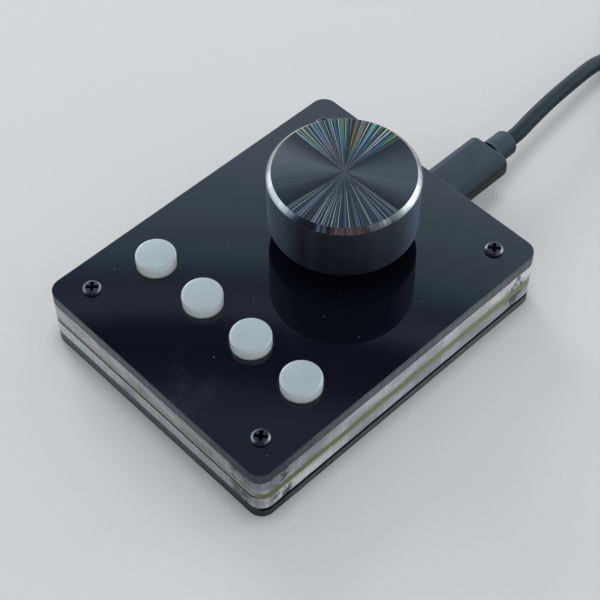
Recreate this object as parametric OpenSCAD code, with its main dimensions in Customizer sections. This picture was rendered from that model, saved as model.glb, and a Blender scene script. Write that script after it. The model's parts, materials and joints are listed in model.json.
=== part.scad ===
// Macro keypad: four push keys and one push-and-turn knob on a layered acrylic case, with a USB-C lead.
// Millimetres. X runs left to right, Y from the key side to the lead side, and Z up.
// The origin is the centre of the bottom plate's underside.

/* [Case layers] */
// Width of every layer, left to right
plate_w = 64; // [62:0.5:76]
// Length of every layer, key side to lead side
plate_l = 80; // [78:0.5:92]
// Corner radius of every layer
corner_r = 3.2; // [2:0.1:4.4]
// Thickness of the black bottom plate
bottom_t = 3; // [3:0.1:5]
// Thickness of the clear frame under the board
lower_frame_t = 3.5; // [3.2:0.1:6]
// Thickness of the circuit board
board_t = 1.6; // [1.2:0.1:2]
// Thickness of the clear frame over the board
upper_frame_t = 4; // [4:0.1:5.5]
// Thickness of the black top plate
top_t = 3; // [2:0.1:4]
// Width of the clear frames' rails
rail_w = 3.6; // [3:0.1:3.8]

/* [Case screws] */
// Distance of each screw from the two edges beside it
screw_inset = 6.8; // [6:0.1:7.4]
// Diameter of the screw's shank
screw_d = 2; // [1.6:0.1:2.5]
// Diameter of the screw's head
screw_head_d = 4; // [3.6:0.1:5]
// Height of the screw's head
screw_head_h = 0.8; // [0.6:0.1:1.4]
// Clearance all round the shank in the layers
screw_clear = 0.15; // [0.1:0.05:0.3]
// Outer diameter of the brass insert that takes each screw
insert_d = 3.4; // [3.1:0.1:4.4]

/* [Keys] */
// Distance between neighbouring keys
key_pitch = 14.4; // [13.4:0.1:14.6]
// Distance of the key row from the plates' middle, towards the key side
key_row = 19; // [17:0.5:20]
// Diameter of a key cap
key_d = 8.6; // [7.6:0.1:9.4]
// Height that a cap stands above the top plate
key_stand = 2.5; // [2:0.1:4]
// Radius round the rim of a cap
key_rim_r = 0.5; // [0.3:0.1:1]
// Clearance round a cap in the top plate
key_clear = 0.25; // [0.2:0.05:0.5]
// Travel of a key
key_travel = 0.3; // [0.2:0.05:0.4]

/* [Key switches] */
// Side of the square switch
switch_w = 12; // [11.6:0.1:12.2]
// Height of the moulded base
switch_base_h = 3.2; // [3:0.1:3.3]
// Thickness of the steel cover
switch_cover_t = 0.3; // [0.2:0.05:0.35]
// Height of the switch from the board to the top of its stem
switch_h = 7.3; // [6.6:0.1:7.6]
// Side of the square stem
stem_w = 3.8; // [3.4:0.1:4]
// Diameter of the round shoulder under the stem
shoulder_d = 6.9; // [6.2:0.1:7.1]

/* [Encoder] */
// Distance of the encoder's axis from the plates' middle, towards the lead side
encoder_y = 14; // [11:0.5:15]
// Width of the encoder over its bracket
encoder_w = 12.4; // [12.2:0.1:13]
// Length of the encoder's body
encoder_l = 11.7; // [11.4:0.1:12.6]
// Height of the encoder's body above the board
encoder_h = 6.5; // [6.2:0.1:7]
// Diameter of the threaded collar
collar_d = 7; // [6.8:0.1:8]
// Height of the threaded collar
collar_h = 5; // [4.5:0.1:7]
// Diameter of the shaft
shaft_d = 6; // [5.6:0.1:6.2]
// Length of the shaft above the encoder's body
shaft_l = 15; // [14:0.5:16]
// Thickness of the shaft across its flat
shaft_flat = 4.5; // [4.2:0.1:5]
// Travel of the shaft when it is pushed
push_travel = 0.5; // [0.3:0.05:0.6]

/* [Knob] */
// Diameter of the knob at its bright rim
knob_d = 31.6; // [26:0.2:38]
// Height of the knob
knob_h = 14; // [11.5:0.5:18]
// Amount by which the knob narrows towards its foot, on each side
knob_taper = 0.1; // [0:0.1:1]
// Width of the bright chamfer
knob_chamfer = 1; // [0.4:0.1:1.6]
// Gap between the collar and the knob's underside
knob_gap = 0.6; // [0.6:0.1:2]
// Diameter of the set screw
set_screw_d = 3; // [2:0.1:3.4]

/* [USB socket and lead] */
// Distance of the socket from the plates' middle, to the right
socket_x = 3.5; // [-6:0.5:8]
// Width of the socket
socket_w = 8.94; // [8.9:0.02:9.3]
// Height of the socket
socket_h = 3.3; // [3.2:0.1:3.5]
// Depth of the socket
socket_l = 7.4; // [7:0.1:9]
// Width of the plug's moulded body
plug_w = 11; // [10:0.1:12.4]
// Height of the plug's moulded body
plug_h = 6.2; // [5.4:0.1:7]
// Length of the plug's moulded body
plug_l = 16.4; // [14:0.2:20]
// Diameter of the plug's boot
boot_d = 6; // [4.6:0.1:6.6]
// Diameter of the lead
cable_d = 3.6; // [3:0.1:4]

/* [Hidden] */

$fn = 64;
eps = 0.01;            // overshoot of a cut past the face that it opens
fit = 0.04;            // clearance of a close fit, all round
part_clear = 0.3;      // clearance between a part and the pocket cut for it

// Heights of the layers
lower_z = bottom_t;
board_z = lower_z + lower_frame_t;
board_top = board_z + board_t;
top_z = board_top + upper_frame_t;
case_top = top_z + top_t;

// Case screws and inserts
screw_x = plate_w / 2 - screw_inset;
screw_y = plate_l / 2 - screw_inset;
pad_reach = 3.2;       // how far a corner pad reaches past its screw's axis
screw_tip_z = 1;       // height of the screws' tips above the table
recess_l = 2.6;        // length of the cross recess
recess_w = 0.7;        // width of the cross recess
recess_deep = 0.45;    // depth of the cross recess
recess_turn = 45;      // angle of the cross recess from the case's sides
insert_h = bottom_t - 0.2;
insert_groove = 0.25;  // depth of the groove round an insert

// Keys and their switches, with heights above the board
key_count = 4;
cover_top = switch_base_h + switch_cover_t;
shoulder_h = 1.1;      // height of the plunger's shoulder above the cover
well_floor = 1;        // floor of the well in the switch's base
well_d = 8.6;          // diameter of that well
flange_d = 7.9;        // diameter of the flange that keeps the plunger in
flange_t = 0.65;       // thickness of that flange
nub_d = 2.4;           // diameter of the nub that presses the dome
nub_h = 0.5;           // height of that nub
switch_dome_d = 7.4;   // diameter of a switch's dome
dome_t = 0.15;         // thickness of a dome
dome_gap = 0.05;       // play between a dome and the nub over it
flange_gap = 0.05;     // play between the plunger's flange and the steel cover
peg_d = 1.3;           // diameter of the pegs that rivet the cover down
peg_inset = 1.5;       // distance of a peg from the base's edges
peg_head_d = 2.1;      // diameter of a peg's flattened head
peg_head_h = 0.22;     // height of that head
cap_lift = 0.4;        // gap left under a cap when it is fully pressed
cap_roof = 1.2;        // thickness of a cap's roof
shoulder_clear = 0.1;  // clearance of a cap's sleeve round the shoulder
cap_boss_wall = 0.65;  // thickness of the square socket's wall in a cap
pin_w = 0.9;           // width of a switch's terminal
pin_t = 0.3;           // thickness of a terminal
pin_reach = 0.4;       // how far a terminal stands out of the base
pin_rise = 1.2;        // height at which a terminal leaves the base
pin_tail = 3.4;        // depth that a terminal reaches below the board's top
pin_spacing = 5;       // distance between the two terminals on one side
pin_hole_d = 1.3;      // diameter of the board's hole for a terminal

// Encoder, with heights above the board
sheet_t = 0.3;         // thickness of the bracket
encoder_block_w = encoder_w - 2 * sheet_t;
encoder_base_h = 3.2;
housing_top = encoder_h - sheet_t;
cavity_d = 10.2;       // diameter of the rotor's cavity
cavity_h = 2.2;        // height of that cavity
retainer_d = 7.4;      // diameter of the shoulder that keeps the shaft in
retainer_t = 0.5;      // thickness of that shoulder
retainer_top = encoder_base_h + cavity_h - 0.06;
nose_d = 4.4;          // diameter of the shaft's lower end
nose_flat = 3.4;       // width of that end across its two flats
nose_z = 2.6;          // height of the shaft's lower end
rotor_d = 9.6;         // diameter of the rotor
rotor_z = encoder_base_h + 0.1;
rotor_t = retainer_top - retainer_t - push_travel - 0.12 - rotor_z;
detents = 20;          // notches round the rotor
detent_d = 0.7;        // diameter of a notch
push_well_d = 5.8;     // diameter of the well for the push dome
push_well_z = 1;       // floor of that well
push_dome_d = 4.8;     // diameter of the push dome
plunger_d = 5.2;       // diameter of the plunger under the shaft
plunger_t = 0.5;       // thickness of that plunger's disc
plunger_nub_h = 0.35;  // height of the nub under it
plunger_gap = 0.05;    // play between the dome, the plunger and the shaft
strap_w = 8;           // width of the bracket's straps
lug_w = 2.2;           // width of a bracket's lug
lug_tail = 3;          // depth that a lug reaches below the board's top
code_pin_y = 7.5;      // distance of the three code pins from the axis
push_pin_y = 7;        // distance of the two push pins from the axis
code_pin_gap = 2.5;    // distance between neighbouring code pins
push_pin_gap = 5;      // distance between the push pins
encoder_pin_hole_d = 1.1;

// Shaft and knob
collar_top = board_top + encoder_h + collar_h;
shaft_top = board_top + encoder_h + shaft_l;
shaft_flat_l = 9.5;    // length of the shaft's flat
knob_z = collar_top + knob_gap;
knob_bore_end = shaft_top + 0.3;
counterbore_d = collar_d + 5;
counterbore_h = 1.6;
foot_chamfer = 0.3;    // chamfer round the knob's foot
set_screw_z = knob_z + 5;
set_screw_l = 5;       // length of the set screw
set_screw_hex = 1.5;   // key size of the set screw
shaft_flat_y = shaft_flat - shaft_d / 2;

// USB socket and the plug in it
socket_z = board_top + socket_h / 2;
socket_wall = 0.3;
socket_face = plate_l / 2;
tongue_w = 6.7;
tongue_t = 0.7;
tongue_back = 1.2;     // thickness of the moulding that carries the tongue
tongue_recess = 0.8;   // distance of the tongue's tip inside the socket's face
leg_w = 1.1;           // width of a socket's leg
leg_tail = 1.2;        // depth that a leg reaches into the board
plug_gap = 0.6;        // gap between the case's side and the plug's body
plug_shell_w = socket_w - 2 * socket_wall - 2 * fit;
plug_shell_h = socket_h - 2 * socket_wall - 0.3;
plug_shell_l = 6.4;
plug_y = socket_face + plug_gap;
plug_edge_r = 0.9;     // rounding of the plug's ends
boot_l = 6;
boot_edge_r = 0.9;

// Chip and small parts on the board
chip_y = -4;
chip_w = 9.9;
chip_l = 3.9;
chip_h = 1.45;
chip_lift = 0.15;
lead_pitch = 1.27;
lead_count = 8;        // leads along one side of the chip
lead_w = 0.4;
lead_t = 0.2;
lead_reach = 1;
resistor_size = [1.6, 0.8, 0.45];
capacitor_size = [1.6, 0.8, 0.8];
part_step = 4;         // distance between two small parts of one row
part_gap = 3;          // distance of a small part from the piece that it serves

lead_start = plug_y + plug_l + boot_l;
// The lead: straight out of the boot, down to the table, and along it to the coil
lead_route = concat([[socket_x, lead_start, socket_z], [socket_x, lead_start + 3, socket_z]], [
    [2.7, 72, 9.7], [1.8, 79, 9.4], [1.1, 86, 8.9], [0.5, 92, 8.2], [-0.1, 98, 7], [-0.4, 102.5, 5.4],
    [-0.5, 106.5, 3.9], [-0.4, 110, 2.8], [-0.3, 113.5, 2.4], [0, 118, 2.4], [0.4, 124, 2.4], [0.8, 130, 2.4]
]);
// The tail: it leaves the coil's top layer, passes over the lead, slides down outside the coil,
// runs round it on the table and meets the far plug
tail_route = [
    [38.6, 108.2, 6], [29.6, 104.5, 6], [19.5, 103.8, 6], [9.8, 106.9, 6], [2.4, 113.5, 6],
    [-1.8, 122.5, 6], [-2.7, 132.5, 5.8], [-0.1, 142.2, 5.1], [5.6, 150.4, 4.1], [13.8, 156.1, 3.1],
    [23.5, 158.7, 2.5], [33.5, 157.8, 2.4], [42.5, 153.6, 2.4], [49.6, 146.5, 2.4], [53.6, 138.4, 2.4],
    [55, 130, 2.4], [55, 125, 2.7], [55, 120, 3.5], [55, 116, 4], [55, 112, 4]
];
tube_sides = 8;
coil_x = 26;
coil_y = 130;
coil_in_r = 16.2;      // inner radius of the coil
coil_out_r = 27;       // outer radius of the coil
coil_z = 0.6;          // the tie's thickness lifts the coil
coil_h = 7.2;
tie_w = 6;
tie_t = 0.5;
tie_angle = -45;       // place of the tie round the coil, from the X axis
tie_clear = 0.1;       // gap between the tie and the turns under it
// Distance of the tie's inner side from the coil's centre: the turns curve past it at its two edges
tie_in = sqrt(coil_in_r * coil_in_r - tie_w * tie_w / 4) - tie_clear;

// The plug on the far end lies flat on the table, pointing back towards the case
far_x = 55;
far_y = 112;
far_z = 4;
far_boot_l = 6;
far_w = 15.6;
far_h = 8;
far_l = 20;
far_shell_w = 12;
far_shell_h = 4.5;
far_shell_l = 12;
far_shell_wall = 0.3;
window_w = 2.5;        // windows in the shell, which the socket's springs catch
window_l = 2;
window_apart = 6;      // distance between the two windows of a side
window_from = 5.2;     // distance of the windows from the shell's open end
far_tongue_h = 1.9;

function key_x(i) = (i - (key_count + 1) / 2) * key_pitch;

// ---- Helpers ----

module rounded_rect(w, l, r) {
    square([w - 2 * r, l], center = true);
    square([w, l - 2 * r], center = true);
    for (sx = [-1, 1], sy = [-1, 1])
        translate([sx * (w / 2 - r), sy * (l / 2 - r)]) circle(r);
}

module layer_outline() rounded_rect(plate_w, plate_l, corner_r);

module at_screws() {
    for (sx = [-1, 1], sy = [-1, 1])
        translate([sx * screw_x, sy * screw_y]) children();
}

module at_keys() {
    for (i = [1:key_count]) translate([key_x(i), -key_row]) children();
}

module at_key(i) translate([key_x(i), -key_row, board_top]) children();

module at_encoder() translate([0, encoder_y, board_top]) children();

// The four places of one switch's terminals
module at_switch_pins() {
    for (sx = [-1, 1], sy = [-1, 1])
        translate([sx * (switch_w / 2 + pin_reach - pin_t / 2), sy * pin_spacing / 2]) children();
}

// The places of the encoder's terminals: three for the code and two for the push switch
module at_encoder_pins() {
    for (i = [-1:1]) translate([i * code_pin_gap, -code_pin_y]) children();
    for (sx = [-1, 1]) translate([sx * push_pin_gap / 2, push_pin_y]) children();
}

module screw_holes() at_screws() circle(screw_d / 2 + screw_clear);

// A box that stands on its base, centred in X and Y
module block(w, l, h) translate([-w / 2, -l / 2, 0]) cube([w, l, h]);

// A turned pin whose upper edge is rounded
module rounded_post(r, h, edge) {
    rotate_extrude() {
        square([r - edge, h]);
        square([r, h - edge]);
        translate([r - edge, h - edge]) intersection() {
            circle(edge);
            square(edge);
        }
    }
}

// A thin spring disc that is domed in the middle
module spring_dome(d, h, t) {
    rotate_extrude() polygon([
        [0, h], [d * 0.2, h - 0.05], [d * 0.36, h * 0.6], [d / 2, t],
        [d / 2, 0], [d * 0.34, h * 0.6 - t], [d * 0.19, h - 0.05 - t], [0, h - t]
    ]);
}

// ---- Case ----

module top_plate() color("#101218") {
    translate([0, 0, top_z]) linear_extrude(top_t) difference() {
        layer_outline();
        screw_holes();
        at_keys() circle(key_d / 2 + key_clear);
        translate([0, encoder_y])
            square([encoder_w + 2 * part_clear, encoder_l + 2 * part_clear], center = true);
    }
}

// The window inside both clear frames: corner pads stay round the screws, and the key row gets its room
module frame_window() {
    difference() {
        square([plate_w - 2 * rail_w, plate_l - 2 * rail_w], center = true);
        at_screws() square(2 * pad_reach, center = true);
        for (sx = [-1, 1], sy = [-1, 1])
            translate([sx * plate_w / 2, sy * plate_l / 2])
                square(2 * (screw_inset + pad_reach), center = true);
    }
    translate([0, -key_row]) square([
        (key_count - 1) * key_pitch + switch_w + 2 * pin_reach + 2 * part_clear,
        switch_w + 2 * part_clear
    ], center = true);
}

module upper_frame() color("#c8d2d2", 0.5) {
    translate([0, 0, board_top]) linear_extrude(upper_frame_t) difference() {
        layer_outline();
        frame_window();
        screw_holes();
        translate([socket_x, plate_l / 2])
            square([socket_w + 2 * part_clear, 2 * (rail_w + eps)], center = true);
    }
}

module lower_frame() color("#c8d2d2", 0.5) {
    translate([0, 0, lower_z]) linear_extrude(lower_frame_t) difference() {
        layer_outline();
        frame_window();
        screw_holes();
    }
}

module circuit_board() color("#2c3a2c") {
    translate([0, 0, board_z]) linear_extrude(board_t) difference() {
        layer_outline();
        screw_holes();
        at_keys() at_switch_pins() circle(pin_hole_d / 2);
        translate([0, encoder_y]) {
            at_encoder_pins() circle(encoder_pin_hole_d / 2);
            for (sx = [-1, 1]) translate([sx * (encoder_w - sheet_t) / 2, 0])
                square([sheet_t + part_clear, lug_w + part_clear], center = true);
        }
        at_socket_legs() square([socket_wall + part_clear, leg_w + part_clear], center = true);
    }
}

module bottom_plate() color("#14171c") {
    linear_extrude(bottom_t) difference() {
        layer_outline();
        at_screws() circle(insert_d / 2 + fit);
    }
}

module case_screws() color("#22252a") {
    at_screws() difference() {
        union() {
            translate([0, 0, case_top]) rounded_post(screw_head_d / 2, screw_head_h, screw_head_h * 0.55);
            translate([0, 0, screw_tip_z]) cylinder(h = case_top - screw_tip_z + eps, d = screw_d);
        }
        translate([0, 0, case_top + screw_head_h - recess_deep]) rotate(recess_turn) {
            block(recess_l, recess_w, recess_deep + eps);
            block(recess_w, recess_l, recess_deep + eps);
        }
    }
}

// Brass inserts in the bottom plate, each with a groove round its middle
module threaded_inserts() color("#b98f45") {
    r = insert_d / 2;
    bore = screw_d / 2 + fit;
    at_screws() translate([0, 0, bottom_t - insert_h]) rotate_extrude() difference() {
        translate([bore, 0]) square([r - bore, insert_h]);
        translate([r - insert_groove, insert_h * 0.4]) square([2 * insert_groove, insert_h * 0.2]);
    }
}

// ---- Key switches ----

module switch_bases() color("#17191c") {
    at_keys() translate([0, 0, board_top]) {
        difference() {
            block(switch_w, switch_w, switch_base_h);
            translate([0, 0, well_floor]) cylinder(h = switch_base_h, d = well_d);
        }
        at_pegs() {
            cylinder(h = cover_top, d = peg_d);
            translate([0, 0, cover_top]) cylinder(h = peg_head_h, d = peg_head_d);
        }
    }
}

module at_pegs() {
    reach = switch_w / 2 - peg_inset;
    for (sx = [-1, 1], sy = [-1, 1]) translate([sx * reach, sy * reach, 0]) children();
}

module switch_covers() color("#b9bcbf") {
    at_keys() translate([0, 0, board_top + switch_base_h]) linear_extrude(switch_cover_t) difference() {
        rounded_rect(switch_w, switch_w, 0.5);
        circle(shoulder_d / 2 + 0.1);
        at_pegs() circle(peg_d / 2 + fit);
    }
}

// Each terminal leaves the base's side and turns down through the board
module switch_terminals() color("#c9c6bd") {
    at_keys() translate([0, 0, board_top]) at_switch_pins()
        translate([0, 0, -pin_tail]) block(pin_t, pin_w, pin_tail + pin_rise);
    at_keys() translate([0, 0, board_top + pin_rise - pin_t])
        for (sx = [-1, 1], sy = [-1, 1])
            translate([sx * (switch_w + pin_reach) / 2, sy * pin_spacing / 2]) block(pin_reach, pin_w, pin_t);
}

module switch_dome(i) color("#d5cfa8") {
    at_key(i) translate([0, 0, well_floor])
        spring_dome(switch_dome_d, plunger_foot() - well_floor - dome_gap, dome_t);
}

function flange_top() = switch_base_h - flange_gap;
function plunger_foot() = flange_top() - flange_t - nub_h;

module switch_plunger(i) color("#2a2c30") {
    at_key(i) {
        translate([0, 0, plunger_foot()]) cylinder(h = nub_h + eps, d = nub_d);
        translate([0, 0, flange_top() - flange_t]) cylinder(h = flange_t, d = flange_d);
        translate([0, 0, flange_top() - eps])
            cylinder(h = cover_top + shoulder_h - flange_top() + eps, d = shoulder_d);
        translate([0, 0, cover_top + shoulder_h - eps])
            block(stem_w, stem_w, switch_h - cover_top - shoulder_h + eps);
    }
}

// A milky cap: a hollow sleeve with a rounded rim, and a square socket that takes the stem
module keycap(i) color("#cfd8da") {
    foot = board_top + cover_top + key_travel + cap_lift;
    top = case_top + key_stand;
    translate([key_x(i), -key_row, foot]) difference() {
        rounded_post(key_d / 2, top - foot, key_rim_r);
        difference() {
            translate([0, 0, -eps])
                cylinder(h = top - foot - cap_roof + eps, r = shoulder_d / 2 + shoulder_clear);
            translate([0, 0, shoulder_h - cap_lift - key_travel + fit])
                block(stem_w + 2 * cap_boss_wall, stem_w + 2 * cap_boss_wall, top - foot);
        }
        translate([0, 0, -eps])
            block(stem_w + 2 * fit, stem_w + 2 * fit, board_top + switch_h + fit - foot + eps);
    }
}

// ---- Encoder ----

module encoder_base() color("#1d1f22") {
    at_encoder() difference() {
        block(encoder_block_w, encoder_l, encoder_base_h);
        translate([0, 0, push_well_z]) cylinder(h = encoder_base_h, d = push_well_d);
    }
}

// The die-cast housing with its collar; the rotor turns in the cavity under the collar
module encoder_housing() color("#a9abad") {
    at_encoder() difference() {
        union() {
            translate([0, 0, encoder_base_h])
                block(encoder_block_w, encoder_l, housing_top - encoder_base_h);
            translate([0, 0, housing_top - eps])
                cylinder(h = encoder_h + collar_h - housing_top + eps, d = collar_d);
        }
        translate([0, 0, encoder_base_h - eps]) cylinder(h = cavity_h + eps, d = cavity_d);
        cylinder(h = encoder_h + collar_h + eps, d = shaft_d + 2 * fit);
    }
}

// The folded bracket: a plate over the housing, a strap down each side and a lug through the board
module encoder_bracket() color("#c2c5c7") {
    at_encoder() {
        translate([0, 0, housing_top]) linear_extrude(sheet_t) difference() {
            square([encoder_w, encoder_l], center = true);
            circle(collar_d / 2 + fit);
        }
        for (sx = [-1, 1]) translate([sx * (encoder_w - sheet_t) / 2, 0, 0]) {
            block(sheet_t, strap_w, encoder_h);
            translate([0, 0, -lug_tail]) block(sheet_t, lug_w, lug_tail + eps);
        }
    }
}

module encoder_terminals() color("#c9c6bd") {
    at_encoder() {
        at_encoder_pins() translate([0, 0, -pin_tail]) block(pin_w * 0.8, pin_t, pin_tail + pin_rise);
        for (i = [-1:1]) encoder_foot(i * code_pin_gap, -1, code_pin_y);
        for (sx = [-1, 1]) encoder_foot(sx * push_pin_gap / 2, 1, push_pin_y);
    }
}

// The flat part of a terminal, from the base's side out to where it turns down
module encoder_foot(x, side, reach) {
    run = reach + pin_t / 2 - encoder_l / 2;
    translate([x, side * (encoder_l + run) / 2, pin_rise - pin_t]) block(pin_w * 0.8, run, pin_t);
}

module encoder_dome() color("#d5cfa8") {
    at_encoder() translate([0, 0, push_well_z])
        spring_dome(push_dome_d, plunger_z() - plunger_gap - push_well_z, dome_t);
}

function plunger_z() = nose_z - plunger_gap - plunger_t - plunger_nub_h;

// Passes the shaft's push on to the dome, and doesn't turn with it
module push_plunger() color("#e4dfcf") {
    at_encoder() translate([0, 0, plunger_z()]) {
        cylinder(h = plunger_nub_h + eps, d = nub_d);
        translate([0, 0, plunger_nub_h]) cylinder(h = plunger_t, d = plunger_d);
    }
}

// The shaft's lower end, and with a clearance the hole that it drives the rotor by
module nose_outline(clear) {
    intersection() {
        circle(nose_d / 2 + clear);
        square([nose_d + 1, nose_flat + 2 * clear], center = true);
    }
}

module encoder_rotor() color("#e4dfcf") {
    at_encoder() translate([0, 0, rotor_z]) linear_extrude(rotor_t) difference() {
        circle(rotor_d / 2);
        nose_outline(fit);
        for (i = [0:detents - 1]) rotate(i * 360 / detents)
            translate([rotor_d / 2, 0]) circle(detent_d / 2, $fn = 16);
    }
}

module encoder_shaft() color("#b4b7b9") {
    at_encoder() {
        translate([0, 0, nose_z]) linear_extrude(retainer_top - nose_z) nose_outline(0);
        translate([0, 0, retainer_top - retainer_t]) cylinder(h = retainer_t, d = retainer_d);
        difference() {
            translate([0, 0, retainer_top - eps])
                cylinder(h = encoder_h + shaft_l - retainer_top + eps, d = shaft_d);
            translate([-shaft_d, shaft_flat_y, encoder_h + shaft_l - shaft_flat_l])
                cube([2 * shaft_d, shaft_d, shaft_flat_l + eps]);
        }
    }
}

// ---- Knob ----

// A turned knob: a body that narrows to its foot, a bright chamfer, and a bore with a flat for the shaft
module knob() color("#23262b") {
    rim_r = knob_d / 2;
    foot_r = rim_r - knob_taper;
    translate([0, encoder_y, knob_z]) difference() {
        rotate_extrude($fn = 128) polygon([
            [0, 0], [foot_r - foot_chamfer, 0], [foot_r, foot_chamfer],
            [rim_r, knob_h - knob_chamfer], [rim_r - knob_chamfer, knob_h], [0, knob_h]
        ]);
        translate([0, 0, -eps]) linear_extrude(knob_bore_end - knob_z + eps) difference() {
            circle(shaft_d / 2 + fit);
            translate([-shaft_d, shaft_flat_y + fit]) square(2 * shaft_d);
        }
        translate([0, 0, -eps]) cylinder(h = counterbore_h + eps, d = counterbore_d);
        translate([0, shaft_flat_y, set_screw_z - knob_z]) rotate([-90, 0, 0])
            cylinder(h = rim_r, d = set_screw_d + 2 * fit);
    }
}

module knob_set_screw() color("#1b1c1f") {
    translate([0, encoder_y + shaft_flat_y + fit, set_screw_z]) rotate([-90, 0, 0]) difference() {
        cylinder(h = set_screw_l, d = set_screw_d);
        translate([0, 0, set_screw_l - 1.5]) cylinder(h = 1.5 + eps, d = set_screw_hex / cos(30), $fn = 6);
    }
}

// ---- USB socket on the board ----

// A rounded slot outline, wide in X
module slot_outline(w, h) {
    square([w - h, h], center = true);
    for (sx = [-1, 1]) translate([sx * (w - h) / 2, 0]) circle(h / 2);
}

// Extrudes an outline from y0 towards the lead side, at the socket's height
module along_y(y0, length) {
    translate([socket_x, y0 + length, socket_z]) rotate([90, 0, 0]) linear_extrude(length) children();
}

module at_socket_legs() {
    for (sx = [-1, 1], y = [1.6, socket_l - 1.6])
        translate([socket_x + sx * (socket_w - socket_wall) / 2, socket_face - y]) children();
}

// The socket's drawn shell, with four legs into the board
module usb_socket_shell() color("#c3c6c8") {
    along_y(socket_face - socket_l, socket_l) difference() {
        slot_outline(socket_w, socket_h);
        slot_outline(socket_w - 2 * socket_wall, socket_h - 2 * socket_wall);
    }
    at_socket_legs() translate([0, 0, board_top - leg_tail])
        block(socket_wall, leg_w, leg_tail + socket_h / 2);
}

// The moulding that closes the socket's back and carries the contact tongue
module usb_socket_tongue() color("#1a1b1d") {
    along_y(socket_face - socket_l, tongue_back)
        slot_outline(socket_w - 2 * socket_wall - 2 * fit, socket_h - 2 * socket_wall - 2 * fit);
    along_y(socket_face - socket_l + tongue_back - eps, socket_l - tongue_back - tongue_recess + eps)
        square([tongue_w, tongue_t], center = true);
}

// ---- Parts on the board ----

module controller_chip() color("#191a1c") {
    translate([0, chip_y, board_top + chip_lift]) block(chip_w, chip_l, chip_h);
}

module chip_leads() color("#c9c6bd") {
    first_x = -(lead_count - 1) / 2 * lead_pitch;
    for (i = [0:lead_count - 1], side = [-1, 1])
        translate([first_x + i * lead_pitch, chip_y + side * chip_l / 2, board_top]) {
            translate([0, side * lead_reach * 0.7, 0]) block(lead_w, lead_reach * 0.6, lead_t);
            translate([0, side * lead_reach * 0.5, 0]) block(lead_w, lead_t, chip_h / 2);
            translate([0, side * lead_reach * 0.25, chip_h / 2 - lead_t])
                block(lead_w, lead_reach * 0.5, lead_t);
        }
}

// Small parts that stand on the board, each turned by its own angle
module small_part(place, size) {
    translate([place[0], place[1], board_top]) rotate(place[2]) block(size[0], size[1], size[2]);
}

module resistors() color("#26282b") {
    socket_side = socket_face - socket_l - part_gap;
    chip_side = -chip_w / 2 - part_gap - lead_reach;
    for (side = [-1, 1]) small_part([socket_x + side * part_step / 2, socket_side, 90], resistor_size);
    for (row = [0, 1]) small_part([chip_side, chip_y + row * part_step, 0], resistor_size);
}

module capacitors() color("#a58a62") {
    chip_side = chip_w / 2 + part_gap + lead_reach;
    for (side = [-1, 1]) small_part([chip_side, chip_y + side * part_step / 2, 90], capacitor_size);
    small_part([chip_side + part_gap, chip_y, 90], capacitor_size);
}

// ---- Plug and lead ----

module usb_plug_shell() color("#b9bcbf") {
    along_y(plug_y - plug_shell_l, plug_shell_l) difference() {
        slot_outline(plug_shell_w, plug_shell_h);
        slot_outline(plug_shell_w - 2 * socket_wall, plug_shell_h - 2 * socket_wall);
    }
}

// A moulded grip whose ends are rounded over: a slot-shaped bar that draws in at both ends
module soft_bar(w, h, length, edge) {
    side = h * 0.38;
    hull() {
        translate([0, 0, edge]) linear_extrude(length - 2 * edge) rounded_rect(w, h, side, $fn = 32);
        linear_extrude(length) rounded_rect(w - 2 * edge, h - 2 * edge, side - edge, $fn = 32);
        translate([0, 0, edge * 0.3]) linear_extrude(length - edge * 0.6)
            rounded_rect(w - 0.6 * edge, h - 0.6 * edge, side - 0.3 * edge, $fn = 32);
    }
}

module usb_plug_body() color("#23272c") {
    translate([socket_x, plug_y, socket_z]) rotate([-90, 0, 0]) soft_bar(plug_w, plug_h, plug_l, plug_edge_r);
}

module usb_plug_boot() color("#23272c") {
    translate([socket_x, plug_y + plug_l, socket_z]) rotate([-90, 0, 0])
        rounded_post(boot_d / 2, boot_l, boot_edge_r);
}

function unit(v) = v / norm(v);
// The direction of travel at a route's point
function heading(route, i) =
    unit(route[min(i + 1, len(route) - 1)] - route[max(i - 1, 0)]);
// One ring of points round a route's point, square to the direction of travel
function ring(route, i, r) =
    let (
        ahead = heading(route, i),
        side = unit(cross(ahead, [0, 0, 1])),
        up = cross(side, ahead)
    )
    [for (k = [0:tube_sides - 1]) let (a = (k + 0.5) * 360 / tube_sides)
        route[i] + r * (cos(a) * side + sin(a) * up)];

// One closed tube that follows a route's points
module tube(route, r) {
    n = len(route);
    points = [for (i = [0:n - 1]) each ring(route, i, r)];
    walls = [for (i = [0:n - 2], k = [0:tube_sides - 1])
        let (next = (k + 1) % tube_sides, a = i * tube_sides)
        [a + k, a + tube_sides + k, a + tube_sides + next, a + next]];
    near_end = [for (k = [0:tube_sides - 1]) k];
    far_end = [for (k = [tube_sides - 1:-1:0]) (n - 1) * tube_sides + k];
    polyhedron(points, concat(walls, [near_end, far_end]));
}

module cable_lead() color("#1f2328") tube(lead_route, cable_d / 2);

module cable_tail() color("#1f2328") tube(tail_route, cable_d / 2);

// The outer shape of the tied coil
module cable_coil() color("#1f2328") {
    width = coil_out_r - coil_in_r;
    translate([coil_x, coil_y, coil_z]) rotate_extrude() translate([coil_in_r + width / 2, coil_h / 2])
        rounded_rect(width, coil_h, cable_d / 2);
}

// A strap round the coil's turns
module cable_tie() color("#2b2f35") {
    inner_w = coil_out_r + tie_clear - tie_in;
    inner_h = coil_h + 2 * tie_clear;
    translate([coil_x, coil_y, coil_z + coil_h / 2]) rotate(tie_angle)
        translate([tie_in + inner_w / 2, tie_w / 2, 0]) rotate([90, 0, 0])
            linear_extrude(tie_w) difference() {
                rounded_rect(inner_w + 2 * tie_t, inner_h + 2 * tie_t, cable_d / 2 + tie_t);
                rounded_rect(inner_w, inner_h, cable_d / 2);
            }
}

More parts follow.
